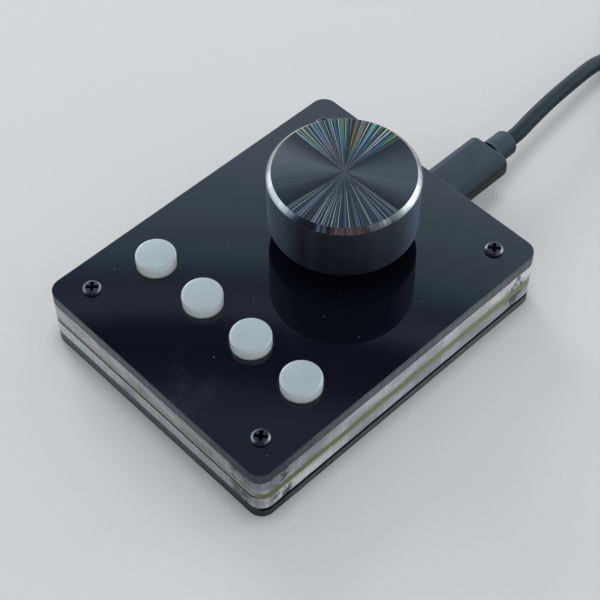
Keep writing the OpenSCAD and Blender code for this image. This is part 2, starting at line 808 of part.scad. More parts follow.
// Places a piece of the far plug, whose length runs towards the key side
module at_far_plug(distance) {
    translate([far_x, far_y - distance, far_z]) rotate([90, 0, 0]) children();
}

module usb_a_boot() color("#23272c") {
    at_far_plug(0) translate([0, 0, far_boot_l]) mirror([0, 0, 1])
        rounded_post(boot_d / 2, far_boot_l, boot_edge_r);
}

module usb_a_body() color("#23272c") {
    at_far_plug(far_boot_l) soft_bar(far_w, far_h, far_l, plug_edge_r);
}

module usb_a_shell() color("#c3c6c8") {
    at_far_plug(far_boot_l + far_l) difference() {
        linear_extrude(far_shell_l) difference() {
            square([far_shell_w, far_shell_h], center = true);
            square([far_shell_w - 2 * far_shell_wall, far_shell_h - 2 * far_shell_wall], center = true);
        }
        for (sx = [-1, 1]) translate([sx * window_apart / 2, 0, far_shell_l - window_from])
            cube([window_w, far_shell_h + 2 * eps, window_l], center = true);
    }
}

// The insulator that carries the contacts, in the upper half of the shell
module usb_a_tongue() color("#e8e8e4") {
    inner_h = far_shell_h - 2 * far_shell_wall;
    at_far_plug(far_boot_l + far_l)
        translate([0, (inner_h - far_tongue_h) / 2 - fit, 0]) linear_extrude(far_shell_l - 0.6)
            square([far_shell_w - 2 * far_shell_wall - 2 * fit, far_tongue_h], center = true);
}

top_plate();
upper_frame();
circuit_board();
lower_frame();
bottom_plate();
case_screws();
threaded_inserts();
switch_bases();
switch_covers();
switch_terminals();
switch_dome(1);  // switch_dome_1
switch_dome(2);  // switch_dome_2
switch_dome(3);  // switch_dome_3
switch_dome(4);  // switch_dome_4
switch_plunger(1);  // switch_plunger_1
switch_plunger(2);  // switch_plunger_2
switch_plunger(3);  // switch_plunger_3
switch_plunger(4);  // switch_plunger_4
keycap(1);  // keycap_1
keycap(2);  // keycap_2
keycap(3);  // keycap_3
keycap(4);  // keycap_4
encoder_base();
encoder_housing();
encoder_bracket();
encoder_terminals();
encoder_dome();
push_plunger();
encoder_rotor();
encoder_shaft();
knob();
knob_set_screw();
usb_socket_shell();
usb_socket_tongue();
controller_chip();
chip_leads();
resistors();
capacitors();
usb_plug_shell();
usb_plug_body();
usb_plug_boot();
cable_lead();
cable_coil();
cable_tail();
cable_tie();
usb_a_boot();
usb_a_body();
usb_a_shell();
usb_a_tongue();
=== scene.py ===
"""Looks of a four-key macro keypad: a layered acrylic case, milky key caps, a spun knob and a coiled USB lead."""

import json
import logging
import math
from collections.abc import Callable
from dataclasses import dataclass
from enum import Enum
from functools import cache

import bmesh
import bpy
from mathutils import Matrix, Vector


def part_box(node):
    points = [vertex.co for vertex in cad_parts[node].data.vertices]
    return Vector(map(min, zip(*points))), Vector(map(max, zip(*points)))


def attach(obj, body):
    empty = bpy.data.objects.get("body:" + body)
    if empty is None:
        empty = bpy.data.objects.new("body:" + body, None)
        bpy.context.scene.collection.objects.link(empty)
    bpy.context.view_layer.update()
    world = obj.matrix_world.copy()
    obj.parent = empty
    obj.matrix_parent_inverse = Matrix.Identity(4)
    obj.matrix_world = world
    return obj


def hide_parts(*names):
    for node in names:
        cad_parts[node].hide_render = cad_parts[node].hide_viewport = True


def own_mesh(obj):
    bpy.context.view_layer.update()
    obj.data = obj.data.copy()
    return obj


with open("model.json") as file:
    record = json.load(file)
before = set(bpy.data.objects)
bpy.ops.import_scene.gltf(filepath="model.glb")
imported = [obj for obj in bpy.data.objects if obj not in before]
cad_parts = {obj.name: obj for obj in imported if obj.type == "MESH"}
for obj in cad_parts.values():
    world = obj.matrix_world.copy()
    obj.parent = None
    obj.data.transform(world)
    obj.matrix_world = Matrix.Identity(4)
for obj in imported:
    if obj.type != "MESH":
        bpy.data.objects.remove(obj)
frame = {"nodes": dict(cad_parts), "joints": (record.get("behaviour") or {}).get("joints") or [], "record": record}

LOG = logging.getLogger("keypad")
MM = 0.001
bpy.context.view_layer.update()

PLATE_TOP = 15.1  # the top plate's upper face, in millimetres
FRONT_CORNER = (32.0, -40.0)
PLATE_LENGTH = 80.0
AXIS_Y = 14.0  # the knob's axis

Colour = tuple[float, float, float]
Point = tuple[float, float, float]
Stops = tuple[tuple[float, Colour], ...]


class Body(Enum):
    """The rigid bodies that the pieces ride on."""

    CASE = "case"
    DIAL = "dial"
    KEY_1 = "key_1"
    KEY_2 = "key_2"
    KEY_3 = "key_3"
    KEY_4 = "key_4"


class Slot(Enum):
    """The record's material slots."""

    BLACK_ACRYLIC = "black_acrylic"
    CLEAR_ACRYLIC = "clear_acrylic"
    BOARD = "board"
    SCREW_STEEL = "screw_steel"
    INSERT_BRASS = "insert_brass"
    SWITCH_MOULDING = "switch_moulding"
    BRIGHT_STEEL = "bright_steel"
    MILKY_CAP = "milky_cap"
    ANODISED_KNOB = "anodised_knob"
    ZINC_CASTING = "zinc_casting"
    ROTOR_MOULDING = "rotor_moulding"
    COMPONENT_BLACK = "component_black"
    COMPONENT_TAN = "component_tan"
    CABLE_JACKET = "cable_jacket"
    PLUG_MOULDING = "plug_moulding"
    PLUG_STEEL = "plug_steel"
    CONTACT_MOULDING = "contact_moulding"
    TIE_FABRIC = "tie_fabric"


# ---- Node trees ----


class Value:
    """A node's output, with arithmetic that adds Math nodes."""

    def __init__(self, nodes: "Nodes", socket: bpy.types.NodeSocket) -> None:
        """Wraps a socket."""
        self.nodes, self.socket = nodes, socket

    def __getitem__(self, name: str) -> "Value":
        """Gives another output of the same node."""
        return Value(self.nodes, self.socket.node.outputs[name])

    def maths(self, operation: str, *others: object) -> "Value":
        """Adds a Math node that starts with this value."""
        return self.nodes.maths(operation, self, *others)

    def __add__(self, other: object) -> "Value":
        """Adds a number or a value."""
        return self.maths("ADD", other)

    def __sub__(self, other: object) -> "Value":
        """Subtracts a number or a value."""
        return self.maths("SUBTRACT", other)

    def __rsub__(self, other: float) -> "Value":
        """Subtracts this value from a number."""
        return self.nodes.maths("SUBTRACT", other, self)

    def __mul__(self, other: object) -> "Value":
        """Multiplies by a number or a value."""
        return self.maths("MULTIPLY", other)

    def __truediv__(self, other: object) -> "Value":
        """Divides by a number or a value."""
        return self.maths("DIVIDE", other)

    def __abs__(self) -> "Value":
        """Drops the sign."""
        return self.maths("ABSOLUTE")

    def span(self, low: float, high: float, to_low: float = 0.0, to_high: float = 1.0,
             smooth: bool = False) -> "Value":
        """Maps a range of values onto another, and clamps it.

        Args:
            low: the start of the range.
            high: its end.
            to_low: the result at the start.
            to_high: the result at the end.
            smooth: True for an eased change.

        Returns:
            The result.
        """
        return self.nodes.add("ShaderNodeMapRange", interpolation_type="SMOOTHSTEP" if smooth else "LINEAR",
                              clamp=True, Value=self, From_Min=low, From_Max=high, To_Min=to_low, To_Max=to_high)


class Nodes:
    """A short way to add and link the nodes of one tree."""

    def __init__(self, tree: bpy.types.NodeTree) -> None:
        """Starts on an existing tree."""
        self.tree = tree

    def fill(self, node: bpy.types.Node, given: dict[str, object]) -> None:
        """Sets a node's settings, and sets or links its inputs.

        Args:
            node: the node.
            given: settings under their lower-case names, and inputs under their names with _ for a space, or under
                _ and their number.
        """
        for label, value in given.items():
            if label[0].islower():
                setattr(node, label, value)
                continue
            name = label.replace("_", " ")
            socket = node.inputs[int(name)] if name.strip().isdigit() else next(
                s for s in node.inputs if s.name == name and s.enabled)
            if isinstance(value, Value):
                self.tree.links.new(value.socket, socket)
            else:
                socket.default_value = (*value, 1.0) if socket.type == "RGBA" else value

    def add(self, kind: str, output: int | str = 0, **given: object) -> Value:
        """Adds a node.

        Args:
            kind: Blender's name of the node type.
            output: the wanted output's number or name.
            given: its settings and inputs, as in fill.

        Returns:
            The output.
        """
        node = self.tree.nodes.new(kind)
        self.fill(node, given)
        return Value(self, node.outputs[output])

    def maths(self, operation: str, *values: object) -> Value:
        """Adds a Math node, whose inputs are numbers or values."""
        return self.add("ShaderNodeMath", operation=operation, **{f"_{i}": v for i, v in enumerate(values)})

    def blend(self, mask: object, a: object, b: object, mode: str = "MIX") -> Value:
        """Mixes two colours, the second by the mask's share."""
        return self.add("ShaderNodeMix", 2, data_type="RGBA", blend_type=mode, _0=mask, _6=a, _7=b)

    def place(self, scale: Point = (1, 1, 1), offset: Point | None = None, turn: float = 0.0) -> Value:
        """Adds coordinates of the piece's own, moved and scaled.

        Args:
            scale: the factor on each axis, after the move.
            offset: the point, in metres, that becomes the centre.
            turn: an angle about Z, in degrees.

        Returns:
            The coordinates.
        """
        here = self.add("ShaderNodeTexCoord", "Object")
        if offset:
            here = self.add("ShaderNodeVectorMath", operation="SUBTRACT", _0=here, _1=offset)
        return self.add("ShaderNodeMapping", Vector=here, Rotation=(0, 0, math.radians(turn)), Scale=scale)

    def parts(self, where: Value) -> tuple[Value, ...]:
        """Takes coordinates apart into X, Y and Z."""
        apart = self.add("ShaderNodeSeparateXYZ", Vector=where)
        return apart, apart["Y"], apart["Z"]

    def axis(self, name: str, source: str = "Object") -> Value:
        """Adds one component of the piece's own coordinates or normal."""
        return self.add("ShaderNodeSeparateXYZ", name, Vector=self.add("ShaderNodeTexCoord", source))

    def away(self) -> Value:
        """Adds how far a point of the case's edge lies from the front corner, as a share of the plate's length."""
        across, along = FRONT_CORNER[0] * MM - self.axis("X"), self.axis("Y") - FRONT_CORNER[1] * MM
        return across.maths("MAXIMUM", along).span(0.0, PLATE_LENGTH * MM)

    def sideways(self) -> Value:
        """Adds a mask that is 1 on the faces that look along X."""
        return abs(self.axis("X", "Normal")).span(0.45, 0.75)

    def noise(self, scale: object, detail: float = 3.0, rough: float = 0.5, stretch: Point = (1, 1, 1),
              where: Value | None = None) -> Value:
        """Adds a noise texture.

        Args:
            scale: the noise's scale, in periods to the metre.
            detail: its octaves.
            rough: its roughness.
            stretch: the scale of the piece's own coordinates, in which it lies.
            where: other coordinates, if it lies in those.

        Returns:
            The noise.
        """
        return self.add("ShaderNodeTexNoise", Vector=where or self.place(stretch), Scale=scale, Detail=detail,
                        Roughness=rough)

    def group(self, tree: bpy.types.NodeTree, **inputs: object) -> Value:
        """Adds a shared group, and gives its first output."""
        return self.add("ShaderNodeGroup", node_tree=tree, **inputs)

    def ramp(self, value: Value, stops: Stops) -> Value:
        """Adds a colour ramp.

        Args:
            value: the value that it reads.
            stops: each stop's place and colour.

        Returns:
            The colour.
        """
        colour = self.add("ShaderNodeValToRGB", _0=value)
        elements = colour.socket.node.color_ramp.elements
        while len(elements) < len(stops):
            elements.new(0.5)
        for element, (place, tone) in zip(elements, stops):
            element.position, element.color = place, (*tone, 1.0)
        return colour

    def shade(self, **inputs: object) -> None:
        """Fills inputs of the material's Principled BSDF."""
        self.fill(self.tree.nodes["Principled BSDF"], inputs)

    def bump(self, height: Value, strength: float, depth: float) -> None:
        """Gives the material's shader a bump, whose depth is in metres."""
        self.shade(Normal=self.add("ShaderNodeBump", Strength=strength, Distance=depth, Height=height))


class Group(Nodes):
    """A node group with named inputs and outputs."""

    def __init__(self, name: str, inputs: dict[str, object], outputs: tuple[str, ...], kind: str = "Shader") -> None:
        """Makes the group.

        Args:
            name: its name.
            inputs: each input's name, with its first value or its socket's kind.
            outputs: the outputs' names.
            kind: Shader or Geometry.
        """
        super().__init__(bpy.data.node_groups.new(name, f"{kind}NodeTree"))
        kinds = {int: "Int", float: "Float", tuple: "Vector"}
        for label, value in inputs.items():
            sort = value if isinstance(value, str) else kinds[type(value)]
            socket = self.tree.interface.new_socket(name=label, in_out="INPUT", socket_type=f"NodeSocket{sort}")
            if sort != value:
                socket.default_value = value
        for label in outputs:
            sort = "Float" if kind == "Shader" else kind
            self.tree.interface.new_socket(name=label, in_out="OUTPUT", socket_type=f"NodeSocket{sort}")
        self.given = self.add("NodeGroupInput")

    def close(self, **outputs: Value) -> bpy.types.NodeTree:
        """Feeds the outputs, and gives the tree."""
        self.fill(self.tree.nodes.new("NodeGroupOutput"), outputs)
        return self.tree


class Effects:
    """The shared effects, each a shader group that is built once."""

    @staticmethod
    @cache
    def grain() -> bpy.types.NodeTree:
        """Builds a fine moulded or sprayed grain, with larger soft patches.

        Returns:
            The group: Scale in, Height and Patches out.
        """
        group = Group("FineGrain", {"Scale": 4000.0}, ("Height", "Patches"))
        return group.close(Height=group.noise(group.given["Scale"], 2.0), Patches=group.noise(160.0, 4.0, 0.6))

    @staticmethod
    @cache
    def dust() -> bpy.types.NodeTree:
        """Builds sparse specks of dust, faint smears and hairline scratches on a glossy face.

        Returns:
            The group: Amount in, Specks, Smears and Scratches out.
        """
        group = Group("DustAndSmears", {"Amount": 1.0}, ("Specks", "Smears", "Scratches"))
        cell = group.add("ShaderNodeTexVoronoi", "Distance", Vector=group.place(), Scale=420.0)
        picked = group.noise(900.0, 0.0, where=cell["Position"]).maths("GREATER_THAN", 0.66)
        streaky = group.noise(260.0, 4.0, 0.6, where=group.place((6.0, 1.0, 1.0), turn=12.0))
        hair = group.add("ShaderNodeTexVoronoi", "Distance", feature="DISTANCE_TO_EDGE", Scale=60.0,
                         Vector=group.place((1.0, 5.0, 1.0), turn=40.0))
        return group.close(
            Specks=cell.span(0.02, 0.09, 1.0, 0.0) * picked * group.given["Amount"],
            Smears=group.noise(70.0, 5.0, 0.62).span(0.5, 0.78, smooth=True) * streaky.span(0.35, 0.8),
            Scratches=hair.span(0.0, 0.006, 1.0, 0.0) * group.noise(130.0, 2.0).span(0.55, 0.7))

    @staticmethod
    @cache
    def edge() -> bpy.types.NodeTree:
        """Builds how near a point is to a sharp edge, broken up by noise, for rubbed edges.

        Returns:
            The group: Width and Breakup in, Mask out.
        """
        group = Group("RubbedEdge", {"Width": 0.0002, "Breakup": 0.5}, ("Mask",))
        bevel = group.add("ShaderNodeBevel", samples=4, Radius=group.given["Width"])
        flat = group.add("ShaderNodeNewGeometry", "Normal")
        near = group.add("ShaderNodeVectorMath", "Value", operation="DOT_PRODUCT", _0=bevel, _1=flat).span(0.99, 0.8)
        worn = group.noise(900.0).span(0.3, 0.7)
        return group.close(Mask=near * (1.0 - worn * group.given["Breakup"]))


# ---- Finishes ----


@dataclass(frozen=True)
class Finish:
    """A finish: what every material has in common."""

    name: str
    colour: Colour
    roughness: float = 0.5
    metallic: float = 0.0
    specular: float = 0.5
    coat: float = 0.0

    def toned(self, factor: float, lift: float = 0.0) -> Colour:
        """Gives the finish's colour, made darker or lighter."""
        return tuple(min(1.0, c * factor + lift) for c in self.colour)

    def uneven(self, value: Value, low: float, high: float, least: float, most: float) -> Value:
        """Gives a roughness that follows a value.

        Args:
            value: the value.
            low: the value that gives the least roughness.
            high: the value that gives the most.
            least: the least roughness, as a factor on the finish's own.
            most: the most.

        Returns:
            The roughness.
        """
        return value.span(low, high, self.roughness * least, min(1.0, self.roughness * most))

    def build(self) -> bpy.types.Material:
        """Makes the material.

        Returns:
            The finished material.
        """
        material = bpy.data.materials.new(self.name)
        material.use_nodes = True
        material.diffuse_color = (*self.colour, 1.0)
        nodes = Nodes(material.node_tree)
        nodes.shade(Base_Color=self.colour, Roughness=self.roughness, Metallic=self.metallic,
                    Specular_IOR_Level=self.specular, Coat_Weight=self.coat)
        self.paint(nodes)
        return material

    def paint(self, nodes: Nodes) -> None:
        """Adds the finish's own nodes to the material's."""


@dataclass(frozen=True)
class PaperFinish(Finish):
    """Matt paper with a faint speckle."""

    def paint(self, nodes: Nodes) -> None:
        """Adds the speckle."""
        speckle = nodes.noise(900.0, 3.0, 0.6).span(0.3, 0.7)
        nodes.shade(Base_Color=nodes.blend(speckle, self.toned(0.975), self.colour))


@dataclass(frozen=True)
class GrainedFinish(Finish):
    """A moulded, cast or sprayed surface: fine grain, soft patches, rubbed edges and, where set, painted shade on the
    flanks.
    """

    grain: float = 4000.0
    relief: float = 0.00001
    patch: float = 0.15
    rub: float = 0.25
    rub_width: float = 0.0002
    lift: float = 0.01
    # Painted shade: how dark the faces that look sideways and somewhat down are painted
    flank_shade: float = 0.0

    def paint(self, nodes: Nodes) -> None:
        """Adds grain, patches, painted shade on the flanks and rubbed edges.

        Args:
            nodes: the material's nodes.
        """
        grain = nodes.group(Effects.grain(), Scale=self.grain)
        edge = nodes.group(Effects.edge(), Width=self.rub_width, Breakup=0.6)
        patches = grain["Patches"]
        base = nodes.blend(patches.span(0.3, 0.7), self.toned(1 - self.patch),
                           self.toned(1 + 2 * self.patch, self.lift))
        # Painted shade: faces that look sideways and somewhat down are darkened
        if self.flank_shade:
            lean = nodes.axis("Z", "Normal")
            low = lean.span(0.25, 0.5, self.flank_shade, 0.0) * lean.span(-0.75, -0.45)
            base = nodes.blend(low, base, self.toned(0.2))
        nodes.shade(Base_Color=nodes.blend(edge * self.rub, base, self.toned(1.6, 0.05)),
                    Roughness=self.uneven(patches, 0.25, 0.75, 0.85, 1.15))
        nodes.bump(grain, 0.35, self.relief)


@dataclass(frozen=True)
class BrushedFinish(Finish):
    """A drawn, plated or turned metal: fine lines along one axis, and rubbed edges."""

    stretch: Point = (1.0, 1.0, 18.0)
    line_scale: float = 2600.0
    rub: float = 0.6
    rub_width: float = 0.00015

    def paint(self, nodes: Nodes) -> None:
        """Adds lines, stains and rubbed edges.

        Args:
            nodes: the material's nodes.
        """
        lines = nodes.noise(self.line_scale, 4.0, 0.6, self.stretch)
        edge = nodes.group(Effects.edge(), Width=self.rub_width, Breakup=0.5)
        base = nodes.blend(nodes.noise(240.0, 4.0, 0.6).span(0.35, 0.7), self.colour, self.toned(0.78))
        nodes.shade(Base_Color=nodes.blend(edge * self.rub, base, self.toned(1.5, 0.1)),
                    Roughness=self.uneven(lines, 0.3, 0.7, 0.75, 1.25))
        nodes.bump(lines, 0.2, 0.00001)


@dataclass(frozen=True)
class BlackAcrylicFinish(Finish):
    """The polished face of black cast acrylic: a mirror with dust, hairlines and a wiped smear."""

    smear_at: Point = (0.009, -0.0325, PLATE_TOP * MM)
    smear_reach: float = 0.013

    def paint(self, nodes: Nodes) -> None:
        """Adds dust, hairlines and the smear.

        Args:
            nodes: the material's nodes.
        """
        dust = nodes.group(Effects.dust(), Amount=1.0)
        apart = nodes.add("ShaderNodeVectorMath", "Value", operation="DISTANCE", _0=nodes.place(), _1=self.smear_at)
        smears = dust["Smears"] * apart.span(self.smear_reach * 0.3, self.smear_reach, 1.0, 0.2, smooth=True)
        face = nodes.blend(smears, self.colour, self.toned(1.0, 0.03))
        nodes.shade(Base_Color=nodes.blend(dust * 0.3, face, (0.3, 0.31, 0.33)),
                    Roughness=smears * 0.15 + self.roughness + dust["Scratches"] * 0.12 + dust * 0.5)


@dataclass(frozen=True)
class BlackEdgeFinish(Finish):
    """The slate-grey frosted cut edge of black acrylic, with painted light that brightens it away from the front corner
    and a painted shadow line under the layer above.
    """

    tones: Stops = (
        (0.0, (0.05, 0.058, 0.062)), (0.03, (0.06, 0.069, 0.073)), (0.055, (0.125, 0.142, 0.15)),
        (0.19, (0.135, 0.155, 0.163)), (0.5, (0.01, 0.011, 0.012)), (0.801, (0.145, 0.172, 0.182)),
        (0.86, (0.17, 0.202, 0.212)), (0.93, (0.185, 0.217, 0.228)), (1.0, (0.11, 0.13, 0.142)))
    # Painted light: a factor that brightens the cut edge away from the front corner
    painted_light_along_edge: Stops = (
        (0.0, (0.28, 0.3, 0.31)), (0.08, (0.36, 0.38, 0.39)), (0.22, (0.62, 0.63, 0.64)), (0.55, (0.86, 0.87, 0.9)),
        (1.0, (1.0, 1.0, 1.0)))
    # Painted shadow: the colour and the heights, as shares of the top plate's height, of the dark line under the layer
    # above
    seam_shadow_colour: Colour = (0.002, 0.003, 0.005)
    seam_shadow_low: tuple[float, float] = (0.13, 0.145)
    seam_shadow_high: tuple[float, float] = (0.25, 0.26)

    def paint(self, nodes: Nodes) -> None:
        """Adds tones by height, painted light along the edge, mottle, saw marks and the seam's painted shadow line.

        Args:
            nodes: the material's nodes.
        """
        height = nodes.axis("Z").span(0.0, PLATE_TOP * MM)
        stripes = nodes.noise(1500.0, 3.0, 0.55, (0.1, 0.1, 1.0))
        comb = nodes.noise(1700.0, 2.0, 0.6, (1.0, 1.0, 0.06))
        # Tones by height, times painted light that brightens the edge away from the front corner
        cut = nodes.blend(1.0, nodes.ramp(height, self.tones), nodes.ramp(nodes.away(), self.painted_light_along_edge), "MULTIPLY")
        cut = nodes.blend(nodes.noise(110.0).span(0.3, 0.7, 0.0, 0.4), cut, (0.08, 0.09, 0.1))
        cut = nodes.blend(stripes.span(0.5, 0.75, 0.0, 0.25), cut, (0.3, 0.31, 0.32))
        cut = nodes.blend(1.0, cut, comb.span(0.4, 0.6, 0.88, 1.1), "MULTIPLY")
        # Painted shadow: a dark line under the layer above, on the faces along X only
        seam = height.span(*self.seam_shadow_low) * height.span(*self.seam_shadow_high, 1.0, 0.0) * nodes.sideways()
        nodes.shade(Base_Color=nodes.blend(seam, cut, self.seam_shadow_colour),
                    Roughness=self.uneven(stripes, 0.3, 0.7, 0.85, 1.15))
        nodes.bump(stripes, 0.3, 0.00002)


@dataclass(frozen=True)
class ClearAcrylicFinish(Finish):
    """Clear cast acrylic, for the polished faces."""

    transmission: float = 1.0
    bend: float = 1.49

    def paint(self, nodes: Nodes) -> None:
        """Lets light through."""
        nodes.shade(Transmission_Weight=self.transmission, IOR=self.bend)


@dataclass(frozen=True)
class ClearEdgeFinish(ClearAcrylicFinish):
    """The cut edge of clear acrylic, on which light carried through it and what lies behind it are painted as bands,
    streaks and dark marks.
    """

    transmission: float = 0.25
    split: float = 7.3
    # Painted reflection of the board's olive edge beside it, and how far from the board it reaches
    board_reflection: Colour = (0.3, 0.33, 0.2)
    board_reflection_band: tuple[float, float] = (0.0009, 0.0024)
    # Painted dark images of the screw shanks seen through the edge: their tone, reach and places along the edge
    painted_shank_tone: Colour = (0.05, 0.056, 0.06)
    painted_shank_reach: tuple[float, float] = (0.02, 0.045)
    screws_at: tuple[float, ...] = (0.072, 0.915)
    # Painted light: the tones of the front and the right faces of the lower and the upper layer along the edge; the
    # near-white stops are painted streaks of light carried through the acrylic
    front_low: Stops = (
        (0.0, (0.33, 0.36, 0.39)), (0.15, (0.4, 0.43, 0.46)), (0.45, (0.47, 0.5, 0.53)), (0.7, (0.63, 0.71, 0.7)))
    front_high: Stops = (
        (0.0, (0.26, 0.29, 0.33)), (0.15, (0.27, 0.28, 0.285)), (0.45, (0.4, 0.42, 0.42)),
        (0.7, (0.52, 0.55, 0.53)))
    right_low: Stops = (
        (0.0, (0.38, 0.41, 0.45)), (0.13, (0.95, 1.0, 1.0)), (0.25, (0.7, 0.76, 0.8)), (0.36, (0.38, 0.42, 0.47)),
        (0.45, (0.55, 0.6, 0.68)), (0.58, (0.62, 0.67, 0.76)), (0.8, (0.5, 0.53, 0.6)), (1.0, (0.48, 0.5, 0.57)))
    right_high: Stops = (
        (0.0, (0.27, 0.3, 0.35)), (0.15, (0.45, 0.48, 0.5)), (0.36, (0.64, 0.67, 0.68)), (0.58, (0.58, 0.61, 0.66)),
        (0.78, (0.97, 1.0, 1.0)), (1.0, (1.0, 1.0, 1.0)))

    def tones(self, nodes: Nodes, away: Value) -> Value:
        """Adds the painted light of each side of each layer, with the board painted between the layers as a reflection.

        Args:
            nodes: the material's nodes.
            away: the distance from the front corner.

        Returns:
            The colour.
        """
        upper = nodes.axis("Z").maths("GREATER_THAN", self.split * MM)
        front, right = (nodes.blend(upper, nodes.ramp(away, low), nodes.ramp(away, high)) for low, high in (
            (self.front_low, self.front_high), (self.right_low, self.right_high)))
        rise = abs(nodes.axis("Z") - self.split * MM)
        # Painted reflection of the board, on the faces along X beside it
        near_board = rise.span(*self.board_reflection_band, 0.75, 0.0) * nodes.sideways()
        return nodes.blend(near_board, nodes.blend(nodes.sideways(), front, right), self.board_reflection)

    def paint(self, nodes: Nodes) -> None:
        """Adds the painted tones of light, saw marks, painted dark images of the screw shanks, painted bright streaks
        and darker waves.

        Args:
            nodes: the material's nodes.
        """
        super().paint(nodes)
        away = nodes.away()
        tint = self.tones(nodes, away)
        comb = nodes.noise(1500.0, 2.0, 0.6, (1.0, 1.0, 0.04)).span(0.4, 0.6, 0.65, 1.35)
        tint = nodes.blend(away.span(0.06, 0.14, 1.0, 0.25), tint, nodes.blend(1.0, tint, comb, "MULTIPLY"))
        swirl = nodes.noise(420.0, 2.0, 0.6, (1.0, 1.0, 0.8)).span(0.46, 0.54)
        # Painted dark images of the screw shanks
        for place in self.screws_at:
            tint = nodes.blend(abs(away - place).span(*self.painted_shank_reach, 1.0, 0.0) * swirl, tint, self.painted_shank_tone)
        streaks = nodes.noise(1500.0, 3.0, 0.6, (0.09, 0.09, 1.0))
        waves = nodes.noise(230.0, 2.0, 0.5, (0.45, 0.45, 1.0))
        deep = nodes.blend(1.0, tint, (0.5, 0.52, 0.55), "MULTIPLY")
        # Painted highlights: pale streaks
        painted_pale = nodes.blend(streaks.span(0.5, 0.7, 0.0, 0.45, smooth=True), tint, (0.85, 0.87, 0.9))
        nodes.shade(Base_Color=nodes.blend(waves.span(0.45, 0.7, 0.0, 0.75, smooth=True), painted_pale, deep),
                    Roughness=self.uneven(waves, 0.35, 0.65, 0.5, 1.6))
        nodes.bump(streaks + waves, 0.3, 0.00004)


@dataclass(frozen=True)
class BoardFinish(Finish):
    """Glass-fibre laminate: dark solder mask on its faces and an olive, layered cut edge with painted light."""

    edge_colour: Colour = (0.17, 0.185, 0.085)
    # Painted light: the edge's colour far from the front corner, where it is painted lighter
    far_lit_colour: Colour = (0.29, 0.31, 0.17)
    low: float = 6.5
    high: float = 8.1
    # On the faces along Y: near black at the bottom and a painted light-grey sheen above
    dark_line_and_sheen: Stops = (
        (0.0, (0.003, 0.004, 0.002)), (0.4, (0.004, 0.005, 0.003)), (0.5, (0.27, 0.28, 0.22)),
        (1.0, (0.36, 0.375, 0.34)))

    def paint(self, nodes: Nodes) -> None:
        """Adds the layered edge with its painted light, and the tracks under the solder mask.

        Args:
            nodes: the material's nodes.
        """
        plies = nodes.noise(5200.0, 2.0, stretch=(0.05, 0.05, 1.0))
        # Painted light: the edge is lighter away from the front corner
        edge = nodes.blend(nodes.away().span(0.1, 0.6), self.edge_colour, self.far_lit_colour)
        edge = nodes.blend(plies.span(0.3, 0.7, 0.0, 0.5), edge, tuple(c * 0.6 for c in self.edge_colour))
        # On the faces along Y: near black at the bottom and a painted light-grey sheen above
        line_and_sheen = nodes.ramp(nodes.axis("Z").span(self.low * MM, self.high * MM), self.dark_line_and_sheen)
        edge = nodes.blend(abs(nodes.axis("Y", "Normal")).span(0.8, 0.98), edge, line_and_sheen)
        raised = nodes.add("ShaderNodeTexBrick", "Fac", Vector=nodes.place(turn=45.0), Scale=190.0, Mortar_Size=0.012)
        raised = raised.span(0.0, 1.0)
        mask = nodes.blend(raised * 0.5, self.colour, self.toned(1.5, 0.01))
        upright = abs(nodes.axis("Z", "Normal")).span(0.4, 0.6, 1.0, 0.0)
        weave = nodes.noise(1800.0)
        nodes.shade(Base_Color=nodes.blend(upright, mask, edge), Roughness=self.uneven(weave, 0.3, 0.7, 1.0, 1.5))
        nodes.bump(raised * 2.0 + weave, 0.3, 0.00002)


@dataclass(frozen=True)
class MilkyFinish(Finish):
    """A milky moulding that lets a little light through: a matt top, a side painted paler as painted light, a painted
    tone on the rim and a thin glossy skin.
    """

    # Painted light: the side is painted paler than the top, and the rim's slope gets a painted tone darker than the
    # side
    painted_side_light: Colour = (0.8, 0.9, 0.9)
    painted_rim_tone: Colour = (0.42, 0.5, 0.53)
    depth: float = 0.0008
    depth_share: float = 0.3
    coat_roughness: float = 0.2

    def paint(self, nodes: Nodes) -> None:
        """Adds depth, soft patches, and the painted light of the side and the rim.

        Args:
            nodes: the material's nodes.
        """
        grain = nodes.group(Effects.grain(), Scale=5200.0)
        patches = grain["Patches"]
        base = nodes.blend(patches.span(0.3, 0.7), self.colour, self.toned(0.9))
        # Painted light: the upright side is painted paler than the top
        base = nodes.blend(abs(nodes.axis("Z", "Normal")).span(0.2, 0.95, 1.0, 0.0), base, self.painted_side_light)
        # Painted shade: the rim's slope gets a tone darker than the side, which tones down its highlight
        slope = abs(nodes.axis("Z", "Normal") - 0.6).span(0.15, 0.4, 0.5, 0.0)
        nodes.shade(Base_Color=nodes.blend(slope, base, self.painted_rim_tone), Subsurface_Weight=self.depth_share,
                    Subsurface_Scale=self.depth, Coat_Roughness=self.coat_roughness,
                    Roughness=patches.span(0.3, 0.7, self.roughness, self.roughness + 0.1))
        nodes.bump(grain, 0.2, 0.000006)


